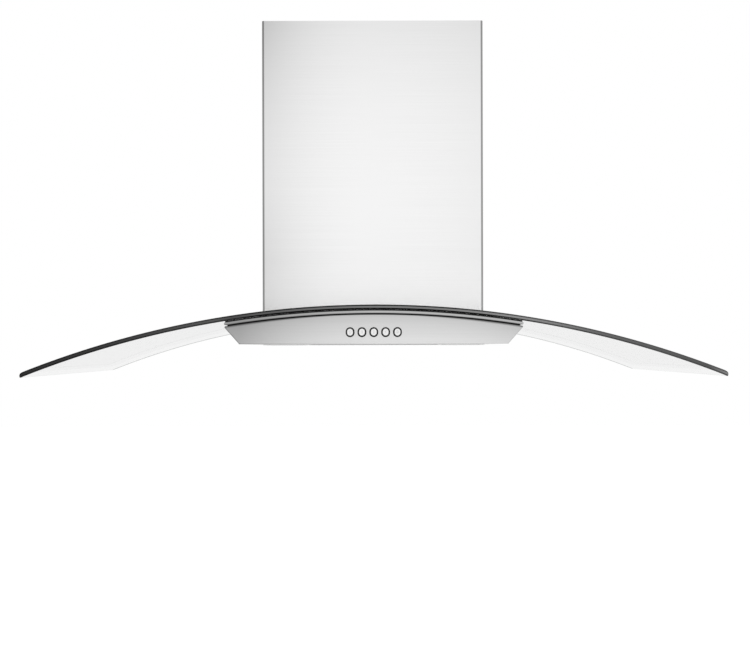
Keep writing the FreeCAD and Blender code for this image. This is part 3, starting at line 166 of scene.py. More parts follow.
# Screws, in mm
UP, LEFT, RIGHT = (0, 0, 1), (-1, 0, 0), (1, 0, 0)
SCREW_RADIUS = 3.2
SCREW_HEIGHT = 1.3
SLOT_SHARE = 0.25  # slot width over head radius
SLOT_REACH = 1.1  # slot length over head radius
LID_TOP = 140.0
FLANGE_TOP = 111.5
FLANGE_SCREW_X = 80.0
COVER_SIDE, COVER_SCREW_Z = 165.0, -127.0
BOX_SIDE, BOX_SCREW_Z = 150.0, -133.0

# Chimney
CHIMNEY_HALF = 165.0 * MM
CHIMNEY_FRONT = -250.0 * MM
CHIMNEY_TOP = 304.0 * MM

# Steps round turned and bent shapes
ROUND_STEPS = 96
OVAL_STEPS = 48
CORNER_STEPS = 8
BAR_STEPS = 60

# Studio
FLOOR_Z = -0.9
FLOOR_REACH = 8.0
LAMP_TARGET = (0.0, -0.2, 0.0)
LAMP_SIZE = 1.6
STUDIO_LAMPS = (("key_lamp", (-1.6, -2.4, 1.9), 26.0), ("fill_lamp", (2.0, -2.2, 0.8), 14.0),
                ("back_lamp", (0.6, 2.4, 1.6), 12.0))  # (name, place, power)
AMBIENT = 0.55  # what the white surroundings give as light
CAMERA_PLACE = (-0.006, -1.864, BOTTOM - 5.5 * MM)
CAMERA_ROLL = 0.0025
CAMERA_LENS = 51.85
CAMERA_SENSOR = 36.0
CAMERA_SHIFT = (0.0079, 0.0311)

# Painted reflection along the glass's front edge from left to right, as (share of the width, grey): a grey
# core with a painted highlight at the right end, between dark painted lines at its upper and lower corners
EDGE_CORE = ((0.0, 0.035), (0.10, 0.046), (0.18, 0.065), (0.23, 0.09), (0.27, 0.115), (0.30, 0.085),
             (0.40, 0.16), (0.5, 0.22), (0.6, 0.24), (0.70, 0.33), (0.76, 0.25), (0.82, 0.16), (0.88, 0.14),
             (0.97, 0.11), (1.0, 0.3))
EDGE_UPPER = ((0.0, 0.02), (0.10, 0.022), (0.18, 0.042), (0.27, 0.046), (0.31, 0.025), (0.6, 0.03),
              (0.75, 0.1), (1.0, 0.1))
EDGE_LOWER = ((0.0, 0.02), (0.12, 0.022), (0.18, 0.036), (0.27, 0.042), (0.34, 0.004), (0.66, 0.004),
              (0.74, 0.08), (1.0, 0.09))

# Sockets of a Mix node for colours
MIX_FACTOR, MIX_FIRST, MIX_SECOND, MIX_RESULT = 0, 6, 7, 2
NO_TINT = (1.0, 1.0, 1.0)
COOL_TINT = (0.97, 0.99, 1.0)
WARM_TINT = (1.0, 0.995, 0.97)

# Patterns, in cells a metre
BRUSH_GRAIN = (6.0, 2400.0, 2400.0)
BRUSH_BANDS = (2.0, 160.0, 160.0)
EDGE_STREAK = (3.0, 300.0, 900.0)
FAR_EDGE_STREAK = (60.0, 60.0, 900.0)
LENS_RING_PITCH = 2.6 * MM


# Node trees

class Value:
    """A socket of a node tree that can be used in plain sums."""

    def __init__(self, tree, socket):
        self.tree = tree
        self.socket = socket

    def math(self, operation, *others):
        return add_node(self.tree, "ShaderNodeMath", {"operation": operation}, (self,) + others)

    def __add__(self, other):
        return self.math("ADD", other)

    __radd__ = __add__

    def __mul__(self, other):
        return self.math("MULTIPLY", other)

    __rmul__ = __mul__

    def __sub__(self, other):
        return self.math("SUBTRACT", other)

    def __rsub__(self, other):
        return self * -1 + other

    def __truediv__(self, other):
        return self.math("DIVIDE", other)

    def __pow__(self, other):
        return self.math("POWER", other)

    def __abs__(self):
        return self.math("ABSOLUTE")

    def limited(self):
        """Kept between 0 and 1."""
        return self.math("MAXIMUM", 0.0).math("MINIMUM", 1.0)

    def rise(self, start, end):
        """0 at the start, 1 at the end, straight between them; the start may be the larger."""
        return ((self - start) / (end - start)).limited()

    def sway(self, width):
        """A 0 to 1 pattern as a change about nothing, of that full width."""
        return (self - 0.5) * width


def add_node(tree, kind, settings=None, values=(), output=0):
    """A node with its settings, then values or links for its sockets, by place or by name."""
    node = tree.nodes.new(kind)
    for name, setting in (settings or {}).items():
        setattr(node, name, setting)
    places = values.items() if isinstance(values, dict) else enumerate(values)
    for place, value in places:
        if isinstance(value, Value):
            tree.links.new(value.socket, node.inputs[place])
        else:
            node.inputs[place].default_value = value
    return Value(tree, node.outputs[output]) if node.outputs else node


def seen_rays(tree):
    """1 for rays of the camera, of gloss and through glass, 0 for those that carry light."""
    kinds = ("Is Camera Ray", "Is Glossy Ray", "Is Transmission Ray")
    first, second, third = [add_node(tree, "ShaderNodeLightPath", output=kind) for kind in kinds]
    return (first + second + third).limited()


class Finish:
    """A material with its pattern space and one or more shaders."""

    def __init__(self, name):
        self.material = bpy.data.materials.new(name)
        self.material.use_nodes = True
        self.tree = self.material.node_tree
        self.tree.nodes.clear()
        self.point = self.node("ShaderNodeTexCoord", output="Object")

    def node(self, kind, settings=None, values=(), output=0):
        return add_node(self.tree, kind, settings, values, output)

    def axes(self):
        """The place's x, y and z."""
        return [self.node("ShaderNodeSeparateXYZ", values=(self.point,), output=axis) for axis in "XYZ"]

    def reach(self, x, z):
        """Distance from the line that the canopy is bent about."""
        up = z - ARCH_Z
        return (x * x + up * up).math("SQRT")

    def through_glass(self, x, z):
        """Place across the glass's thickness: -1 at its lower face, 1 at its upper one."""
        return (self.reach(x, z) - GLASS_MIDDLE) / (GLASS_THICKNESS / 2)

    def stretched(self, cells):
        """The place, multiplied alike or along each axis."""
        scale = cells if isinstance(cells, tuple) else (cells, cells, cells)
        return self.node("ShaderNodeVectorMath", {"operation": "MULTIPLY"}, (self.point, scale))

    def noise(self, cells, detail=3.0):
        """Cloudy pattern from 0 to 1."""
        sockets = {"Vector": self.stretched(cells), "Scale": 1.0, "Detail": detail, "Roughness": 0.55}
        return self.node("ShaderNodeTexNoise", {"noise_dimensions": "3D"}, sockets)

    def ramp(self, factor, stops):
        """Grey that follows a value through stops of (place, grey)."""
        node = self.tree.nodes.new("ShaderNodeValToRGB")
        self.tree.links.new(factor.socket, node.inputs[0])
        points = node.color_ramp.elements
        while len(points) < len(stops):
            points.new(0.5)
        for point, (place, grey) in zip(points, stops):
            point.position = place
            point.color = plain(grey)
        return self.node("ShaderNodeSeparateColor", values=(Value(self.tree, node.outputs[0]),))

    def grey(self, value, tint=NO_TINT):
        """A colour of that brightness, with a slight tint."""
        colour = self.node("ShaderNodeCombineColor", values=(value, value, value))
        return self.node("ShaderNodeMix", {"data_type": "RGBA", "blend_type": "MULTIPLY"},
                         {MIX_FACTOR: 1.0, MIX_FIRST: colour, MIX_SECOND: tint + (1.0,)}, MIX_RESULT)

    def bump(self, height, depth, strength=1.0):
        """Normal of a surface with that relief, its depth in metres."""
        return self.node("ShaderNodeBump", values={"Height": height, "Distance": depth, "Strength": strength})

    def principled(self, **sockets):
        """Principled shader with sockets by name, spaces written as underscores."""
        named = {name.replace("_", " "): value for name, value in sockets.items()}
        return self.node("ShaderNodeBsdfPrincipled", values=named)

    def shown(self, shader):
        """The material, with that shader as its surface."""
        self.node("ShaderNodeOutputMaterial", values=(shader,))
        return self.material

    def coated(self, grey, tint=NO_TINT, **sockets):
        """The material with one principled shader in a tinted grey."""
        return self.shown(self.principled(Base_Color=self.grey(grey, tint), **sockets))


def plain(value):
    """A grey as a colour."""
    return (value, value, value, 1.0)


# Finishes

def brushed_steel(name, base, roughness=0.3, tint=NO_TINT, streak=0.07):
    """Satin steel brushed along x; the base is a grey or a function that gives one."""
    finish = Finish(name)
    grain = finish.noise(BRUSH_GRAIN, 2.0)
    bands = finish.noise(BRUSH_BANDS, 2.0)
    shade = 1 + grain.sway(0.13) + bands.sway(streak)
    level = base(finish) if callable(base) else base
    shaded = (level * shade).limited() if isinstance(level, Value) else shade * level
    return finish.coated(shaded, tint, Metallic=1.0, Roughness=roughness + grain.sway(0.1),
                         Normal=finish.bump(grain, 0.02 * MM, 0.35))


def chimney_painted_shade(finish):
    """Very pale front with painted reflection and shade: greyer at the left, the top and along the folded
    edges, paler at the foot; sides painted darker and quieter.
    """
    x, y, z = finish.axes()
    top = z.rise(0.0, CHIMNEY_TOP) ** 2.6
    low = z.rise(60.0 * MM, -60.0 * MM)
    foot = z.rise(-50.0 * MM, -110.0 * MM)
    left = x.rise(0.0, -CHIMNEY_HALF) ** 2.2
    right = x.rise(0.0, CHIMNEY_HALF) ** 2.0
    fold = abs(x).rise(CHIMNEY_HALF - 3.5 * MM, CHIMNEY_HALF - 2.8 * MM)
    front = y.rise(CHIMNEY_FRONT + 4.5 * MM, CHIMNEY_FRONT + 3.5 * MM)
    forward = y.rise(-60.0 * MM, CHIMNEY_FRONT)
    # Painted shade: the front darkens towards the left, more so high up and low down, and a little towards
    # the right.
    falloff = left * (0.16 + 0.15 * top + 0.085 * low) + right * 0.06
    front_grey = (0.945 - 0.12 * top + 0.06 * foot) * (1 - falloff) * (1 - 0.64 * fold)
    side_grey = (0.84 - 0.1 * top) * (1 - 0.12 * forward)
    return front_grey * front + side_grey * (1 - front)


def panel_painted_shade(finish):
    """Painted reflection and shade: paler low down and in the middle, darker to the left, with painted shade
    lines along its outline and a painted shadow under its top edge.
    """
    x, _, z = finish.axes()
    reach = finish.reach(x, z)
    depth = reach.rise(PANEL_ARC, PANEL_ARC - 30.0 * MM)
    left = x.rise(30.0 * MM, -170.0 * MM) ** 2.2
    right = x.rise(90.0 * MM, 190.0 * MM) ** 2.0
    outer = abs(x).rise(50.0 * MM, 150.0 * MM)
    foot_shade_line = z.rise(BOTTOM + 1.3 * MM, BOTTOM)
    # Painted shadow just under the top edge, wider towards the ends.
    top_shadow_line = 1 - ((PANEL_ARC - reach) / ((1.1 + 1.5 * outer) * MM)).limited()
    slope_end = PANEL_FOOT_HALF + (z - BOTTOM) * PANEL_SLOPE
    left_edge_shade = (slope_end + x).rise(2.2 * MM, 0.0)
    right_edge_shade = (slope_end - x).rise(2.2 * MM, 0.0)
    sheet = (0.54 + 0.22 * depth ** 0.6) * (1 - 0.40 * left) * (1 - 0.07 * right)
    sheet = sheet * (1 - foot_shade_line * (0.12 + 0.3 * left)) * (1 - (0.85 + 0.1 * outer) * top_shadow_line)
    return sheet * (1 - 0.5 * left_edge_shade) * (1 - 0.12 * right_edge_shade)


def lip_painted_light(finish):
    """Rolled strip with painted light: one painted highlight line between painted darker edges, darker
    towards the left.
    """
    x, y, z = finish.axes()
    off = abs(finish.reach(x, z) - LIP_MIDDLE).rise(0.0, 1.7 * MM)
    front = y.rise(LIP_FACE, LIP_FACE - 1.0 * MM)
    left = x.rise(0.0, -170.0 * MM)
    front_grey = 0.50 * (1 - 0.35 * left) * (1 - 0.8 * off ** 3.0)
    return 0.64 * (1 - front) + front_grey * front


def body_painted_light(finish):
    """Tray steel with painted light: a little paler towards the front and at its foot."""
    _, y, z = finish.axes()
    foot = z.rise(BOTTOM + 1.0 * MM, BOTTOM)
    return 0.62 + 0.06 * y.rise(CHIMNEY_FRONT, -GLASS_DEPTH) + 0.14 * foot


def glass_clear():
    """Nearly clear faces of the pane, with a thin gloss."""
    finish = Finish("clear_glass")
    cloud = finish.noise(4.0, 1.0)
    pane = finish.principled(Base_Color=finish.grey(0.26 + 0.04 * cloud, (0.99, 1.0, 1.0)),
                             Roughness=0.03, Alpha=0.1, Specular_IOR_Level=0.0)
    gloss = finish.principled(Base_Color=plain(0.95), Metallic=1.0, Roughness=0.02)
    share = finish.node("ShaderNodeFresnel", values=(1.45,)) * 0.16
    return finish.shown(finish.node("ShaderNodeMixShader", values=(share, pane, gloss)))


def glass_edge_painted_light():
    """Polished front rim with painted reflection: dark painted lines along both corners and a grey core that
    brightens to the right, ending in a painted highlight.
    """
    finish = Finish("glass_edge_painted_light")
    x, _, z = finish.axes()
    place = finish.through_glass(x, z)
    along = x.rise(-GLASS_HALF, GLASS_HALF)
    upper = place.rise(0.26, 0.46)
    lower = place.rise(-0.3, -0.5)
    level = (finish.ramp(along, EDGE_CORE) * (1 - upper) * (1 - lower)
             + finish.ramp(along, EDGE_UPPER) * upper + finish.ramp(along, EDGE_LOWER) * lower)
    streak = finish.noise(EDGE_STREAK, 2.0)
    return finish.coated(level * (1 + streak.sway(0.2)), Roughness=0.25, Specular_IOR_Level=0.0)


def glass_far_edge():
    """Side and wall rims: a grey polished edge from outside, nearly clear when seen through the pane."""
    finish = Finish("glass_far_edge")
    x, _, z = finish.axes()
    inside = finish.node("ShaderNodeNewGeometry", output="Backfacing")
    corner = finish.through_glass(x, z).rise(-0.55, -0.85)
    streak = finish.noise(FAR_EDGE_STREAK, 2.0)
    return finish.coated(0.30 + 0.1 * streak, (0.93, 1.0, 0.97), Roughness=0.2, Specular_IOR_Level=0.2,
                         Alpha=0.75 * (1 - inside) + inside * (0.05 + 0.6 * corner))


def moulded(name, grey, roughness=0.5, grain=1500.0, depth=0.04 * MM, tint=NO_TINT, gloss=0.5):
    """Moulded plastic with a fine grain."""
    finish = Finish(name)
    spots = finish.noise(grain, 3.0)
    cloud = finish.noise(25.0, 2.0)
    level = grey * (1 + cloud.sway(0.08) + spots.sway(0.04))
    return finish.coated(level, tint, Roughness=roughness + spots.sway(0.1), Specular_IOR_Level=gloss,
                         Normal=finish.bump(spots, depth, 0.4))


def zinc_coated(name, grey=0.52):
    """Galvanised sheet with faint crystals."""
    finish = Finish(name)
    cells = finish.node("ShaderNodeTexVoronoi", {"feature": "F1"},
                        {"Vector": finish.stretched(140.0), "Scale": 1.0}, "Color")
    crystal = finish.node("ShaderNodeSeparateColor", values=(cells,))
    cloud = finish.noise(12.0, 3.0)
    level = grey * (0.92 + 0.08 * crystal + 0.1 * cloud)
    return finish.coated(level, COOL_TINT, Metallic=1.0, Roughness=0.38 + 0.05 * crystal)


def cast_metal(name, grey=0.55, roughness=0.42):
    """Cast or pressed metal with a soft, uneven surface."""
    finish = Finish(name)
    spots = finish.noise(700.0, 4.0)
    cloud = finish.noise(30.0, 2.0)
    level = grey * (0.92 + 0.1 * cloud + 0.05 * spots)
    return finish.coated(level, Metallic=1.0, Roughness=roughness + 0.12 * spots,
                         Normal=finish.bump(spots, 0.08 * MM, 0.4))


def polished_metal(name, grey=0.75, roughness=0.12):
    """Bright metal with faint clouds."""
    finish = Finish(name)
    cloud = finish.noise(60.0, 2.0)
    return finish.coated(grey * (1 + cloud.sway(0.1)), Metallic=1.0, Roughness=roughness + 0.06 * cloud)


def button_satin():
    """Satin silver cap with painted light: a painted white highlight on its face and painted shade dark round
    the rim.
    """
    finish = Finish("button_satin")
    x, _, z = finish.axes()
    across = x - BUTTON_PITCH * (x / BUTTON_PITCH).math("ROUND")
    up = (abs(z - BUTTON_Z) - (BUTTON_HALF_HEIGHT - BUTTON_HALF_WIDTH)).limited()
    side = (across * across + up * up).math("SQRT").rise(CAP_RIM, CAP_RIM + 0.2 * MM)
    grain = finish.noise(2500.0, 2.0)
    level = (0.98 - 0.945 * side) * (0.97 + 0.04 * grain)
    return finish.coated(level.limited(), Metallic=side, Roughness=0.28, Coat_Weight=0.3 * (1 - side),
                         Normal=finish.bump(grain, 0.01 * MM, 0.3))


def frosted_lens():
    """Milky lens with fine rings round its middle."""
    finish = Finish("frosted_lens")
    grain = finish.noise(1800.0, 2.0)
    x, y, _ = finish.axes()
    across = abs(x) - LAMP_X
    along = y - LAMP_Y
    rings = ((across * across + along * along).math("SQRT") * (math.tau / LENS_RING_PITCH)).math("SINE")
    return finish.coated(0.84 + 0.05 * grain + 0.025 * rings, WARM_TINT, Roughness=0.35, Coat_Weight=0.4,
                         Normal=finish.bump(rings, 0.1 * MM, 0.6))


def floor_finish():
    """Pale floor that shows white to the camera and to metal, keeps shadows, and is clear from below."""
    finish = Finish("pale_floor")
    seen = seen_rays(finish.tree)
    matt = finish.node("ShaderNodeBsdfDiffuse", values=(plain(0.9),))
    white = finish.node("ShaderNodeEmission", values=(plain(1.0), 0.9))
    shade = finish.node("ShaderNodeBsdfDiffuse", values=(plain(0.24),))
    shaded = finish.node("ShaderNodeAddShader", values=(white, shade))
    clear = finish.node("ShaderNodeBsdfTransparent")
    front = finish.node("ShaderNodeMixShader", values=(seen, matt, shaded))
    behind = finish.node("ShaderNodeNewGeometry", output="Backfacing")
    return finish.shown(finish.node("ShaderNodeMixShader", values=(behind, front, clear)))


CLEAR = glass_clear()
EDGE = glass_edge_painted_light()
FAR_EDGE = glass_far_edge()
RUBBER = moulded("gasket_rubber", 0.012, 0.75, gloss=0.1)
LIP = brushed_steel("lip_steel", lip_painted_light, 0.3)
BODY = brushed_steel("body_steel", body_painted_light, 0.32)
PANEL = brushed_steel("panel_steel", panel_painted_shade, 0.34, streak=0.03)
CHIMNEY = brushed_steel("chimney_steel", chimney_painted_shade, 0.36, streak=0.015)
ZINC = zinc_coated("zinc_sheet")
BEZEL = moulded("bezel_black", 0.006, 0.6, gloss=0.1)
CAP_PAINTED_LIGHT = button_satin()
MARK = moulded("mark_grey", 0.66, 0.5)
BLACK = moulded("black_plastic", 0.035, 0.5)
WHITE = moulded("white_plastic", 0.78, 0.42, 900.0, 0.02 * MM, (1.0, 1.0, 0.97))
FLAP = moulded("flap_plastic", 0.66, 0.45, tint=WARM_TINT)
LATCH = moulded("latch_plastic", 0.09, 0.45)
FILTER = brushed_steel("filter_aluminium", 0.72, 0.36, (1.0, 1.0, 0.99))
MESH = cast_metal("mesh_aluminium", 0.62, 0.3)
CHROME = polished_metal("lamp_chrome", 0.56, 0.08)
LENS = frosted_lens()
MOTOR = cast_metal("motor_aluminium", 0.5, 0.45)
SHAFT = polished_metal("shaft_steel", 0.62, 0.2)
SCREW = polished_metal("screw_zinc", 0.6, 0.25)
FLOOR = floor_finish()


# Pieces

SIDES = ((-1, "left"), (1, "right"))


def placed(name, data):
    """An object of the scene for a mesh, letter, lamp or camera."""
    item = bpy.data.objects.new(name, data)
    bpy.context.scene.collection.objects.link(item)
    return item


def made_plain(holder):
    """The object's finished mesh; the object is dropped."""
    graph = bpy.context.evaluated_depsgraph_get()
    mesh = bpy.data.meshes.new_from_object(holder.evaluated_get(graph), depsgraph=graph)
    bpy.data.objects.remove(holder)
    return mesh


def new_piece(name, mesh, body, replaced=()):
    """An object for a finished mesh, on its body, in place of the frame's own nodes."""
    piece = placed(name, mesh)
    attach(piece, body)
    if replaced:
        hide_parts(*replaced)
    return piece


def smooth_mesh(name, points, faces, material, angle=35.0, merge=0.01 * MM, outward=True, mend=0):
    """A merged mesh, smooth up to an angle between its faces; mend closes holes of so many edges."""
    mesh = bpy.data.meshes.new(name)
    mesh.from_pydata([tuple(point) for point in points], [], faces)
    work = bmesh.new()
    work.from_mesh(mesh)
    bmesh.ops.remove_doubles(work, verts=work.verts, dist=merge)
    if mend:
        bmesh.ops.holes_fill(work, edges=work.edges, sides=mend)
    if outward:
        bmesh.ops.recalc_face_normals(work, faces=work.faces)
        if work.calc_volume(signed=True) < 0:
            bmesh.ops.reverse_faces(work, faces=work.faces)
    work.to_mesh(mesh)
    work.free()
    mesh.shade_smooth()
    mesh.set_sharp_from_angle(angle=math.radians(angle))
    mesh.materials.append(material)
    return mesh


def weighted(piece):
    """Keeps flat faces flat beside small rounds."""
    steady = piece.modifiers.new("steady", "WEIGHTED_NORMAL")
    steady.keep_sharp = True
    return piece


BODY_OF = {node: body for body, nodes in frame["record"]["behaviour"]["bodies"].items() for node in nodes}


def solid(name, surface, material, node, angle=40.0, **options):
    """A piece from points and faces, with flat faces kept flat, in place of one frame node."""
    mesh = smooth_mesh(name, *surface, material, angle, **options)
    return weighted(new_piece(name, mesh, BODY_OF[node], (node,)))


def dress(node, material):
    """A merged, smooth copy of a frame node with its finish."""
    source = frame["nodes"][node].data
    points = [vertex.co.copy() for vertex in source.vertices]
    faces = [tuple(face.vertices) for face in source.polygons]
    return solid(node + "_finish", (points, faces), material, node, 30.0, merge=0.002 * MM, outward=False)


def skin(loops, closed=False):
    """Points and faces of a surface through loops of equal length, capped or closed on itself."""
    count = len(loops[0])
    points = [point for loop in loops for point in loop]
    faces = []
    for row in range(len(loops) if closed else len(loops) - 1):
        low = row * count
        high = (row + 1) % len(loops) * count
        for i in range(count):
            j = (i + 1) % count
            faces.append((low + i, low + j, high + j, high + i))
    if not closed:
        last = (len(loops) - 1) * count
        faces.append(tuple(reversed(range(count))))
        faces.append(tuple(range(last, last + count)))
    return points, faces


def mesh_lists(mesh, shift=Vector()):
    """Points and faces of a scratch mesh, which is then dropped."""
    points = [vertex.co + shift for vertex in mesh.vertices]
    faces = [tuple(face.vertices) for face in mesh.polygons]
    bpy.data.meshes.remove(mesh)
    return points, faces


def joined(*surfaces):
    """Several surfaces as one list of points and one of faces."""
    points = []
    faces = []
    for more_points, more_faces in surfaces:
        start = len(points)
        points += more_points
        faces += [tuple(start + index for index in face) for face in more_faces]
    return points, faces


def circle(centre, axis, radius, steps):
    """Loop of points round a centre; the axis is x, y or z."""
    loop = []
    for step in range(steps):
        angle = math.tau * step / steps
        a, b = radius * math.cos(angle), radius * math.sin(angle)
        offset = {"x": (0, a, b), "y": (b, 0, a), "z": (a, b, 0)}[axis]
        loop.append(Vector(centre) + Vector(offset))
    return loop


def turned(centre, axis, profile, closed=False, steps=ROUND_STEPS):
    """Turned surface through (along, radius) pairs about a centre."""
    way = {"x": Vector((1, 0, 0)), "y": Vector((0, 1, 0)), "z": Vector((0, 0, 1))}[axis]
    loops = [circle(Vector(centre) + way * along, axis, radius, steps) for along, radius in profile]
    return skin(loops, closed)


def from_mm(profile, side=1):
    """A profile in metres, turned round for the other side."""
    return [(side * along * MM, radius * MM) for along, radius in profile]


def oval(x, y, z, half_width, half_height):
    """Upright loop of two half rounds and two short straights."""
    rise = half_height - half_width
    loop = []
    for step in range(OVAL_STEPS):
        angle = math.tau * (step + 0.5) / OVAL_STEPS
        side = 1 if math.sin(angle) > 0 else -1
        loop.append(Vector((x + half_width * math.cos(angle), y,
                            z + half_width * math.sin(angle) + side * rise)))
    return loop


def block(low, high):
    """Plain box between corners."""
    spans = [(low[axis], high[axis]) for axis in range(3)]
    points = [Vector((x, y, z)) for x in spans[0] for y in spans[1] for z in spans[2]]
    faces = [(0, 1, 3, 2), (4, 6, 7, 5), (0, 4, 5, 1), (2, 3, 7, 6), (0, 2, 6, 4), (1, 5, 7, 3)]
    return points, faces


# Glass

def arc_points(centre, radius, start, end):
    """Plan points of a rounded corner, the angles in degrees."""
    points = []
    for step in range(CORNER_STEPS + 1):
        angle = math.radians(start + (end - start) * step / CORNER_STEPS)
        points.append((centre[0] + radius * math.cos(angle), centre[1] + radius * math.sin(angle)))
    return points


def glass_outline():
    """The pane's plan: round front corners and a notch at the wall."""
    side, front, corner = GLASS_HALF, -GLASS_DEPTH, GLASS_CORNER
    notch, deep, turn = NOTCH_HALF, -NOTCH_DEPTH, NOTCH_CORNER
    outline = [(-side, 0.0)]
    outline += arc_points((-side + corner, front + corner), corner, 180, 270)
    outline += arc_points((side - corner, front + corner), corner, 270, 360)
    outline += [(side, 0.0), (notch, 0.0)]
    outline += arc_points((notch - turn, deep + turn), turn, 0, -90)
    outline += arc_points((-notch + turn, deep + turn), turn, 270, 180)
    outline += [(-notch, 0.0)]
    return outline


def glass_slab():
    """Flat pane with its outline, its middle at z = 0."""
    work = bmesh.new()
    foot = [work.verts.new((x, y, -GLASS_THICKNESS / 2)) for x, y in glass_outline()]
    bottom = work.faces.new(foot)
    grown = bmesh.ops.extrude_face_region(work, geom=[bottom])
    lifted = [item for item in grown["geom"] if isinstance(item, bmesh.types.BMVert)]
    bmesh.ops.translate(work, verts=lifted, vec=(0, 0, GLASS_THICKNESS))
    bmesh.ops.recalc_face_normals(work, faces=work.faces)
    return work


def is_polished(edge):
    """True for the slab's level edges at its sides and front, not at the wall or round the notch."""
    ends = [vert.co for vert in edge.verts]
    level = abs(ends[0].z - ends[1].z) < MM
    outer = all(abs(end.x) > NOTCH_HALF + MM or end.y < -NOTCH_DEPTH - MM for end in ends)
    at_wall = all(end.y > -MM for end in ends)
    return level and outer and not at_wall


def glass_pane():
    """Arched pane with a polished round rim, bent over the arch from a flat slab."""
    work = glass_slab()
    rim = [edge for edge in work.edges if is_polished(edge)]
    bmesh.ops.bevel(work, geom=rim, offset=GLASS_EDGE, segments=6, profile=0.5, affect="EDGES")
    for face in work.faces:
        at_front = face.calc_center_median().y < -GLASS_DEPTH + GLASS_CORNER + 0.1 * MM
        face.material_index = 0 if abs(face.normal.z) > GLASS_FLAT else 1 if at_front else 2
    for cut in range(1, GLASS_CUTS):
        place = Vector((-GLASS_HALF + 2 * GLASS_HALF * cut / GLASS_CUTS, 0, 0))
        everything = work.verts[:] + work.edges[:] + work.faces[:]
        bmesh.ops.bisect_plane(work, geom=everything, dist=0.01 * MM, plane_co=place, plane_no=(1, 0, 0))
    for vert in work.verts:
        x, _, rise = vert.co
        vert.co.z = max(cad_low.z, ARCH_Z + math.sqrt((GLASS_MIDDLE + rise) ** 2 - x ** 2))
    mesh = bpy.data.meshes.new("glass_pane")
    work.to_mesh(mesh)
    work.free()
    mesh.shade_smooth()
    mesh.set_sharp_from_angle(angle=math.radians(40.0))
    for material in (CLEAR, EDGE, FAR_EDGE):
        mesh.materials.append(material)
    return weighted(new_piece("glass_pane", mesh, "hood", ("glass_canopy",)))


def arc_bar(name, half, section):
    """Rubber bar bent over the arch from its (y, reach) section."""
    loops = []
    for step in range(BAR_STEPS + 1):
        x = half * (2 * step / BAR_STEPS - 1)
        loops.append([Vector((x, y, ARCH_Z + math.sqrt(reach * reach - x * x))) for y, reach in section])
    mesh = smooth_mesh(name, *skin(loops), RUBBER, 50.0)
    return new_piece(name, mesh, "hood")


def glass_seal():
    """Dark bead in the corner between the pane's front rim and the steel strip."""
    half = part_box("canopy_cradle")[1].x - SEAL_SHORT
    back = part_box("glass_gasket")[0].y + SEAL_LAP
    section = [(back, GLASS_UNDER - SEAL_TOP * MM), (back, GLASS_UNDER - SEAL_FOOT * MM)]
    section += [(-GLASS_DEPTH + behind * MM, GLASS_UNDER - under * MM) for behind, under in SEAL_FACE]
    return arc_bar("glass_seal", half, section)


def shadow_gap_liner():
    """Dark rubber strip behind the gap between the steel strip and the control panel, put there as painted
    shadow so the gap reads dark and shows no light through.
    """
    back = LINER_FRONT + LINER_SHEET
    foot = PANEL_ARC - LINER_DROP
    top = PANEL_ARC + LINER_RISE
    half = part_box("body_shell")[1].x - LINER_SHORT
    return arc_bar("shadow_gap_liner", half, ((LINER_FRONT, foot), (LINER_FRONT, top), (back, top), (back, foot)))


# Buttons

def button_oval(x, y, grow):
    """Outline of the button at x, larger all round by that much."""
    return oval(x, y, BUTTON_Z, BUTTON_HALF_WIDTH + grow, BUTTON_HALF_HEIGHT + grow)


def button_cap(name, x):
    """Rounded oval cap with a shallow dish, its stop plate and stem."""
    loops = [button_oval(x, BUTTON_FRONT + depth * MM, -inset * MM) for inset, depth in CAP_DISH]
    steps = 6
    for step in range(steps + 1):
        angle = math.pi / 2 * step / steps
        loops.append(button_oval(x, BUTTON_FRONT + CAP_ROUND * (1 - math.cos(angle)),
                                 -CAP_ROUND * (1 - math.sin(angle))))
    loops.append(button_oval(x, BUTTON_BACK, 0.0))
    low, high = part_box(name)
    plate = block((low.x, PLATE_FRONT, low.z), (high.x, PLATE_FRONT + PLATE_SHEET, high.z))
    stem = block((x - STEM_HALF, PLATE_FRONT, BUTTON_Z - STEM_HALF),
                 (x + STEM_HALF, high.y, BUTTON_Z + STEM_HALF))
    return solid(name + "_cap", joined(skin(loops), plate, stem), CAP_PAINTED_LIGHT, name)


def text_mesh(name, text, size):
    """A flat character as a mesh about its own middle."""
    curve = bpy.data.curves.new(name, "FONT")
    curve.body = text
    curve.size = size
    curve.extrude = LETTER_HALF_DEPTH
    curve.align_x = "CENTER"
    curve.align_y = "CENTER"
    curve.resolution_u = 6
    return made_plain(placed(name, curve))


def lamp_sign(x):
    """A small ring over two short bars, for the lamp's button."""
    centre = Vector((x, MARK_FRONT, BUTTON_Z + 0.4 * MM))
    near, far = -MARK_HALF_DEPTH, MARK_HALF_DEPTH
    ring = [(near, SIGN_OUTER), (near, SIGN_INNER), (far, SIGN_INNER), (far, SIGN_OUTER)]
    shapes = [turned(centre, "y", ring, True, 40)]
    for drop, half, height in ((1.5, 0.75, 0.3), (2.1, 0.55, 0.3)):
        z = BUTTON_Z - drop * MM
        shapes.append(block((x - half * MM, MARK_FRONT + near, z),
                            (x + half * MM, MARK_FRONT + far, z + height * MM)))
    return joined(*shapes)


def button_mark(name, x, text):
    """A faint character on the cap's face, or a small lamp sign."""
    if text == "lamp":
        mesh = smooth_mesh(name + "_mark", *lamp_sign(x), MARK)
    else:
        letter = text_mesh(name + "_letter", text, LETTER_SIZE)
        upright = Matrix.Rotation(math.pi / 2, 4, "X")
        letter.transform(Matrix.Translation((x, MARK_FRONT, BUTTON_Z)) @ upright)
        mesh = smooth_mesh(name + "_mark", *mesh_lists(letter), MARK, merge=0.001 * MM)
    return new_piece(name + "_mark", mesh, name)


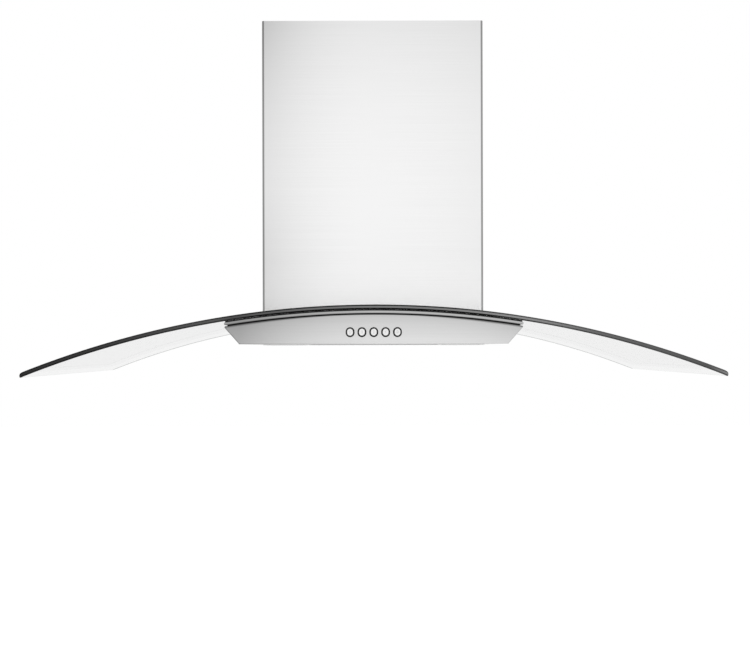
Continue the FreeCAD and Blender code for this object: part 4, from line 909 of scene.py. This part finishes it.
def bezels():
    """Oval liners with a rounded front edge."""
    surfaces = []
    for x in BUTTON_PLACES:
        loops = [button_oval(x, PANEL_FRONT + behind * MM, grow * MM) for grow, behind in RING_SECTION]
        surfaces.append(skin(loops, True))
    return solid("button_rings", joined(*surfaces), BEZEL, "button_bezels", 50.0)


# Geometry trees

class Pattern:
    """A geometry tree with named inputs, run once on a mesh and made plain."""

    def __init__(self, name, inputs):
        self.tree = bpy.data.node_groups.new(name, "GeometryNodeTree")
        self.tree.interface.new_socket("Mesh", in_out="INPUT", socket_type="NodeSocketGeometry")
        self.tree.interface.new_socket("Mesh", in_out="OUTPUT", socket_type="NodeSocketGeometry")
        self.identifiers = {}
        for label, kind in inputs.items():
            socket = self.tree.interface.new_socket(label, in_out="INPUT", socket_type="NodeSocket" + kind)
            self.identifiers[label] = socket.identifier
        self.entry = self.tree.nodes.new("NodeGroupInput")

    def node(self, kind, settings=None, values=(), output=0):
        return add_node(self.tree, kind, settings, values, output)

    def input(self, label):
        """One of the tree's inputs, as a value."""
        return Value(self.tree, self.entry.outputs[label])

    def vector(self, x=0.0, y=0.0, z=0.0):
        """A vector of three values or numbers."""
        return self.node("ShaderNodeCombineXYZ", values=(x, y, z))

    def finish(self, shape, material):
        """The tree's output: real copies in one material."""
        real = self.node("GeometryNodeRealizeInstances", values=(shape,))
        dyed = self.node("GeometryNodeSetMaterial", values={"Geometry": real, "Material": material})
        self.node("NodeGroupOutput", values=(dyed,))

    def run(self, name, values, mesh=None):
        """The tree's result as a plain mesh."""
        holder = placed(name, mesh or bpy.data.meshes.new(name + "_seed"))
        modifier = holder.modifiers.new("pattern", "NODES")
        modifier.node_group = self.tree
        for label, value in values.items():
            modifier[self.identifiers[label]] = value
        return made_plain(holder)


def mesh_pattern():
    """Expanded metal: rows of zigzag strands that touch at their peaks."""
    pattern = Pattern("expanded_metal", {"Columns": "Int", "Rows": "Int", "Cell Width": "Float",
                                         "Cell Length": "Float", "Strand": "Float"})
    half_cell = pattern.input("Cell Width") * 0.5
    line = pattern.node("GeometryNodeMeshLine", {"mode": "OFFSET"},
                        {"Count": pattern.input("Columns"), "Offset": pattern.vector(half_cell)})
    index = pattern.node("GeometryNodeInputIndex")
    swing = (index.math("MODULO", 2.0) - 0.5) * pattern.input("Cell Length") * STRAND_SWING
    zigzag = pattern.node("GeometryNodeSetPosition",
                          values={"Geometry": line, "Offset": pattern.vector(0.0, swing)})
    path = pattern.node("GeometryNodeMeshToCurve", values=(zigzag,))
    section = pattern.node("GeometryNodeCurvePrimitiveCircle", {"mode": "RADIUS"},
                           {"Resolution": 4, "Radius": pattern.input("Strand")})
    strand = pattern.node("GeometryNodeCurveToMesh",
                          values={"Curve": path, "Profile Curve": section, "Fill Caps": True})
    pitch = pattern.input("Cell Length") * 0.5
    rows = pattern.node("GeometryNodeMeshLine", {"mode": "OFFSET"},
                        {"Count": pattern.input("Rows"), "Offset": pattern.vector(0.0, pitch)})
    shift = pattern.node("GeometryNodeInputIndex").math("MODULO", 2.0) * half_cell
    places = pattern.node("GeometryNodeSetPosition",
                          values={"Geometry": rows, "Offset": pattern.vector(shift)})
    sheet = pattern.node("GeometryNodeInstanceOnPoints", values={"Points": places, "Instance": strand})
    pattern.finish(sheet, MESH)
    return pattern


def filter_layer(pattern, low, high, level, cell, strand):
    """One layer of expanded metal, centred in the box between two corners."""
    length = cell * CELL_RATIO
    columns = int((high.x - low.x) / (cell / 2 * MM))
    rows = int((high.y - low.y) / (length / 2 * MM)) - 1
    sheet = pattern.run("mesh_layer", {"Columns": columns, "Rows": rows, "Cell Width": cell * MM,
                                       "Cell Length": length * MM, "Strand": strand * MM})
    width = (columns - 1) * cell / 2 * MM
    depth = (rows - 1) * length / 2 * MM
    middle = (low + high) / 2
    start = Vector((middle.x - width / 2 - cell / 4 * MM, middle.y - depth / 2, low.z + level * MM))
    sheet.transform(Matrix.Translation(start))
    return mesh_lists(sheet)


def filter_layers():
    """Three layers of expanded metal in the filter's frame, cut away round the latch."""
    pattern = mesh_pattern()
    low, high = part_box("filter_mesh")
    points, faces = joined(*[filter_layer(pattern, low, high, *layer) for layer in FILTER_LAYERS])
    latch_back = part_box("filter_frame")[0].y + LATCH_BLOCK_DEPTH
    at_latch = [abs(point.x) < LATCH_BLOCK_HALF and point.y < latch_back for point in points]
    keep = [face for face in faces if not any(at_latch[i] for i in face)]
    mesh = smooth_mesh("filter_mesh_layers", points, keep, MESH, 60.0, 0.001 * MM, mend=16)
    return new_piece("filter_mesh_layers", mesh, "grease_filter", ("filter_mesh",))


def screw_pattern():
    """Pan-head screws on points, each turned to face its own way."""
    pattern = Pattern("screws", {"Head Radius": "Float", "Head Height": "Float", "Slot": "Float"})
    radius = pattern.input("Head Radius")
    height = pattern.input("Head Height")
    ball = pattern.node("GeometryNodeMeshUVSphere", values={"Segments": 24, "Rings": 12, "Radius": radius})
    squash = pattern.vector(1.0, 1.0, height / radius)
    head = pattern.node("GeometryNodeTransform", values={"Geometry": ball, "Scale": squash})
    slot = pattern.input("Slot")
    for size in ((radius * SLOT_REACH, slot, height), (slot, radius * SLOT_REACH, height)):
        cube = pattern.node("GeometryNodeMeshCube", values={"Size": pattern.vector(*size)})
        cutter = pattern.node("GeometryNodeTransform",
                              values={"Geometry": cube, "Translation": pattern.vector(z=height)})
        head = pattern.node("GeometryNodeMeshBoolean", {"operation": "DIFFERENCE", "solver": "EXACT"},
                            {"Mesh 1": head, "Mesh 2": cutter})
    facing = pattern.node("GeometryNodeInputNamedAttribute", {"data_type": "FLOAT_VECTOR"}, ("facing",))
    turn = pattern.node("FunctionNodeAlignRotationToVector", {"axis": "Z"}, {"Vector": facing})
    heads = pattern.node("GeometryNodeInstanceOnPoints",
                         values={"Points": pattern.input("Mesh"), "Instance": head, "Rotation": turn})
    pattern.finish(heads, SCREW)
    return pattern


def screw_places():
    """Screws as (point in mm, way): terminal lid, chimney's and fan box's sides, collar's flange."""
    places = [((x, y, LID_TOP), UP) for x in (111.0, 143.0) for y in (-125.0, -45.0)]
    for side, way in ((-1, LEFT), (1, RIGHT)):
        places += [((side * COVER_SIDE, y, COVER_SCREW_Z), way) for y in (-236.0, -223.0)]
        places += [((side * BOX_SIDE, y, BOX_SCREW_Z), way) for y in (-190.0, -60.0)]
        places += [((side * FLANGE_SCREW_X, y, FLANGE_TOP), UP) for y in (-64.0, -216.0)]
    return places


def screws(name, places, body):
    """One mesh of screws at (point in mm, way) pairs."""
    seed = bpy.data.meshes.new(name + "_places")
    seed.from_pydata([tuple(value * MM for value in point) for point, way in places], [], [])
    facing = seed.attributes.new("facing", "FLOAT_VECTOR", "POINT")
    for row, (point, way) in zip(facing.data, places):
        row.vector = way
    sizes = {"Head Radius": SCREW_RADIUS * MM, "Head Height": SCREW_HEIGHT * MM,
             "Slot": SCREW_RADIUS * SLOT_SHARE * MM}
    points, faces = mesh_lists(screw_pattern().run(name, sizes, seed))
    mesh = smooth_mesh(name, points, faces, SCREW, merge=0.004 * MM)
    return new_piece(name, mesh, body)


def blade_pattern():
    """Forward-curved blades round the fan's shaft."""
    pattern = Pattern("fan_blades", {"Blades": "Int", "Heel": "Float", "Chord": "Float", "Camber": "Float",
                                     "Sweep": "Float", "Length": "Float", "Thickness": "Float"})
    chord = pattern.input("Chord")
    sheet = pattern.node("GeometryNodeMeshGrid", values={"Size X": 1.0, "Size Y": pattern.input("Length"),
                                                         "Vertices X": 9, "Vertices Y": 2})
    spot = pattern.node("GeometryNodeInputPosition")
    across = pattern.node("ShaderNodeSeparateXYZ", values=(spot,)) + 0.5
    length = pattern.node("ShaderNodeSeparateXYZ", values=(spot,), output=1)
    bow = pattern.input("Camber") * 4.0 * across * (1 - across)
    radius = pattern.input("Heel") + chord * across
    angle = pattern.input("Sweep") * across - bow / radius
    curved = pattern.vector(length, radius * angle.math("SINE"), radius * angle.math("COSINE"))
    bent = pattern.node("GeometryNodeSetPosition", values={"Geometry": sheet, "Position": curved})
    thick = pattern.node("GeometryNodeExtrudeMesh", {"mode": "FACES"},
                         {"Mesh": bent, "Offset Scale": pattern.input("Thickness"), "Individual": False})
    flat = pattern.node("GeometryNodeFlipFaces", values=(bent,))
    blade = pattern.tree.nodes.new("GeometryNodeJoinGeometry")
    pattern.tree.links.new(thick.socket, blade.inputs[0])
    pattern.tree.links.new(flat.socket, blade.inputs[0])
    count = pattern.input("Blades")
    seats = pattern.node("GeometryNodePoints", values={"Count": count})
    turn = pattern.node("GeometryNodeInputIndex") / count * math.tau
    ring = pattern.node("GeometryNodeInstanceOnPoints",
                        values={"Points": seats, "Instance": Value(pattern.tree, blade.outputs[0]),
                                "Rotation": pattern.vector(turn)})
    pattern.finish(ring, ZINC)
    return pattern


def impeller():
    """The double-width wheel: smooth blades on each side of the plate, in their end rings."""
    pattern = blade_pattern()
    for side, name in SIDES:
        middle = FAN_CENTRE + Vector((side * BLADE_MIDDLE, 0, 0))
        blades = mesh_lists(pattern.run("blades_" + name, BLADE), middle)
        ring = turned(FAN_CENTRE, "x", from_mm(WHEEL_RING, side), True)
        mesh = smooth_mesh("wheel_cage_" + name, *joined(blades, ring), ZINC, 40.0)
        new_piece("wheel_cage_" + name, mesh, "fan_wheel", ("impeller_" + name,))


# Lamps and turned pieces

def lamps():
    """Chrome flange and milky lens of each lamp."""
    for side, name in SIDES:
        foot = Vector((side * LAMP_X, LAMP_Y, BOTTOM))
        ring = turned(foot, "z", from_mm(LAMP_RIM), True)
        solid("lamp_ring_" + name, ring, CHROME, "lamp_bezel_" + name)
        solid("lamp_glass_" + name, turned(foot, "z", from_mm(LAMP_DOME)), LENS, "lamp_lens_" + name)


def bell_curve(radius, flare, steps):
    """Quarter round that opens a bore of that radius, in mm."""
    points = []
    for step in steps:
        angle = math.pi / 2 * step / INLET_STEPS
        points.append((INLET_BEND + flare * math.sin(angle), radius + flare * (1 - math.cos(angle))))
    return points


def inlet_rings():
    """Bell-mouthed inlets, rounder than the frame's."""
    inner, wide = INLET_RADIUS + INLET_WALL, INLET_FLARE - INLET_WALL
    profile = [(INLET_END, INLET_RADIUS), (INLET_BEND, INLET_RADIUS)]
    profile += bell_curve(INLET_RADIUS, INLET_FLARE, range(1, INLET_STEPS + 1))
    profile += INLET_LIP
    profile += bell_curve(inner, wide, range(INLET_STEPS - 1, -1, -1))
    profile.append((INLET_END, inner))
    for side, name in SIDES:
        surface = turned(FAN_CENTRE, "x", from_mm(profile, side), True)
        solid("inlet_bell_" + name, surface, BLACK, "inlet_ring_" + name)


def motor_case():
    """Round motor with cooling ribs between its end caps."""
    profile = list(MOTOR_END)
    for rib in range(MOTOR_RIBS):
        start = RIB_START - rib * RIB_PITCH
        profile += [(start - along, radius) for along, radius in RIB_GROOVE]
    profile += [(2 * MOTOR_MIDDLE - along, radius) for along, radius in reversed(MOTOR_END)]
    return solid("motor_case", turned(FAN_CENTRE, "x", from_mm(profile), True), MOTOR, "motor", 35.0)


def capacitor_can():
    """Round can with a rolled top and a rounded foot."""
    low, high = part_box("capacitor")
    radius = (high.x - low.x) / 2
    foot = Vector(((low.x + high.x) / 2, low.y, (low.z + high.z) / 2))
    length = high.y - low.y
    profile = [(along * MM, radius - under * MM) for along, under in CAN_FOOT]
    profile += [(length - along * MM, radius - under * MM) for along, under in CAN_TOP]
    return solid("capacitor_can", turned(foot, "y", profile, steps=64), WHITE, "capacitor", 50.0)


# Stage

def floor():
    """Large pale floor under the hood."""
    mesh = bpy.data.meshes.new("floor")
    corners = ((-1, -1), (1, -1), (1, 1), (-1, 1))
    mesh.from_pydata([(x * FLOOR_REACH, y * FLOOR_REACH, FLOOR_Z) for x, y in corners], [], [(0, 1, 2, 3)])
    mesh.materials.append(FLOOR)
    ground = placed("floor", mesh)


def soft_lamp(name, place, power):
    """Square area lamp that faces the hood."""
    light = bpy.data.lights.new(name, "AREA")
    light.shape = "SQUARE"
    light.size = LAMP_SIZE
    light.energy = power
    lamp = placed(name, light)
    lamp.location = place
    lamp.rotation_euler = (Vector(LAMP_TARGET) - Vector(place)).to_track_quat("-Z", "Y").to_euler()
    lamp.visible_glossy = False


def daylight():
    """White to the camera, to mirrors and through glass; a softer level for what it lights."""
    world = bpy.data.worlds.new("studio")
    world.use_nodes = True
    tree = world.node_tree
    tree.nodes.clear()
    strength = AMBIENT + (1.0 - AMBIENT) * seen_rays(tree)
    light = add_node(tree, "ShaderNodeBackground", values=(plain(1.0), strength))
    add_node(tree, "ShaderNodeOutputWorld", values=(light,))
    bpy.context.scene.world = world


def camera():
    """Level, in front of the hood, at the height of its flat bottom, with the photo's slight tilt."""
    data = bpy.data.cameras.new("camera")
    data.lens = CAMERA_LENS
    data.sensor_width = CAMERA_SENSOR
    data.sensor_fit = "HORIZONTAL"
    data.shift_x, data.shift_y = CAMERA_SHIFT
    eye = placed("camera", data)
    eye.location = CAMERA_PLACE
    eye.rotation_euler = (math.pi / 2, CAMERA_ROLL, 0.0)
    bpy.context.scene.camera = eye


camera()
daylight()
floor()
for lamp_row in STUDIO_LAMPS:
    soft_lamp(*lamp_row)

glass_pane()
glass_seal()
shadow_gap_liner()
for x, button in zip(BUTTON_PLACES, BUTTON_NAMES):
    button_cap("button_" + button, x)
    sign = {"lamp": "lamp", "off": "0"}.get(button, button[-1])
    button_mark("button_" + button, x, sign)
bezels()
filter_layers()
impeller()
lamps()
inlet_rings()
motor_case()
capacitor_can()

PLAIN_NODES = {
    "glass_gasket": RUBBER, "canopy_cradle": LIP, "body_shell": BODY, "front_panel": PANEL,
    "switch_block": BLACK, "switch_bracket": ZINC, "lamp_driver": WHITE, "filter_frame": FILTER,
    "filter_latch": LATCH, "filter_hanger_left": ZINC, "filter_hanger_right": ZINC, "fan_box": ZINC,
    "scroll_band": BLACK, "scroll_side_left": BLACK, "scroll_side_right": BLACK, "motor_bracket": ZINC,
    "outlet_adaptor": BLACK, "outlet_collar": BLACK, "damper_pin": SHAFT, "damper_flap_rear": FLAP,
    "damper_flap_front": FLAP, "terminal_box": BLACK, "terminal_lid": BLACK, "cable_gland": WHITE,
    "capacitor_clip": ZINC, "glass_clamp_frame": ZINC, "chimney_lower": CHIMNEY, "chimney_upper": CHIMNEY,
    "chimney_bracket": ZINC, "impeller_plate": ZINC, "motor_shaft": SHAFT,
    "lamp_housing_left": ZINC, "lamp_housing_right": ZINC,
}
for node, material in PLAIN_NODES.items():
    dress(node, material)
screws("hood_screws", screw_places(), "hood")

settings = bpy.context.scene.view_settings
settings.view_transform = "Standard"
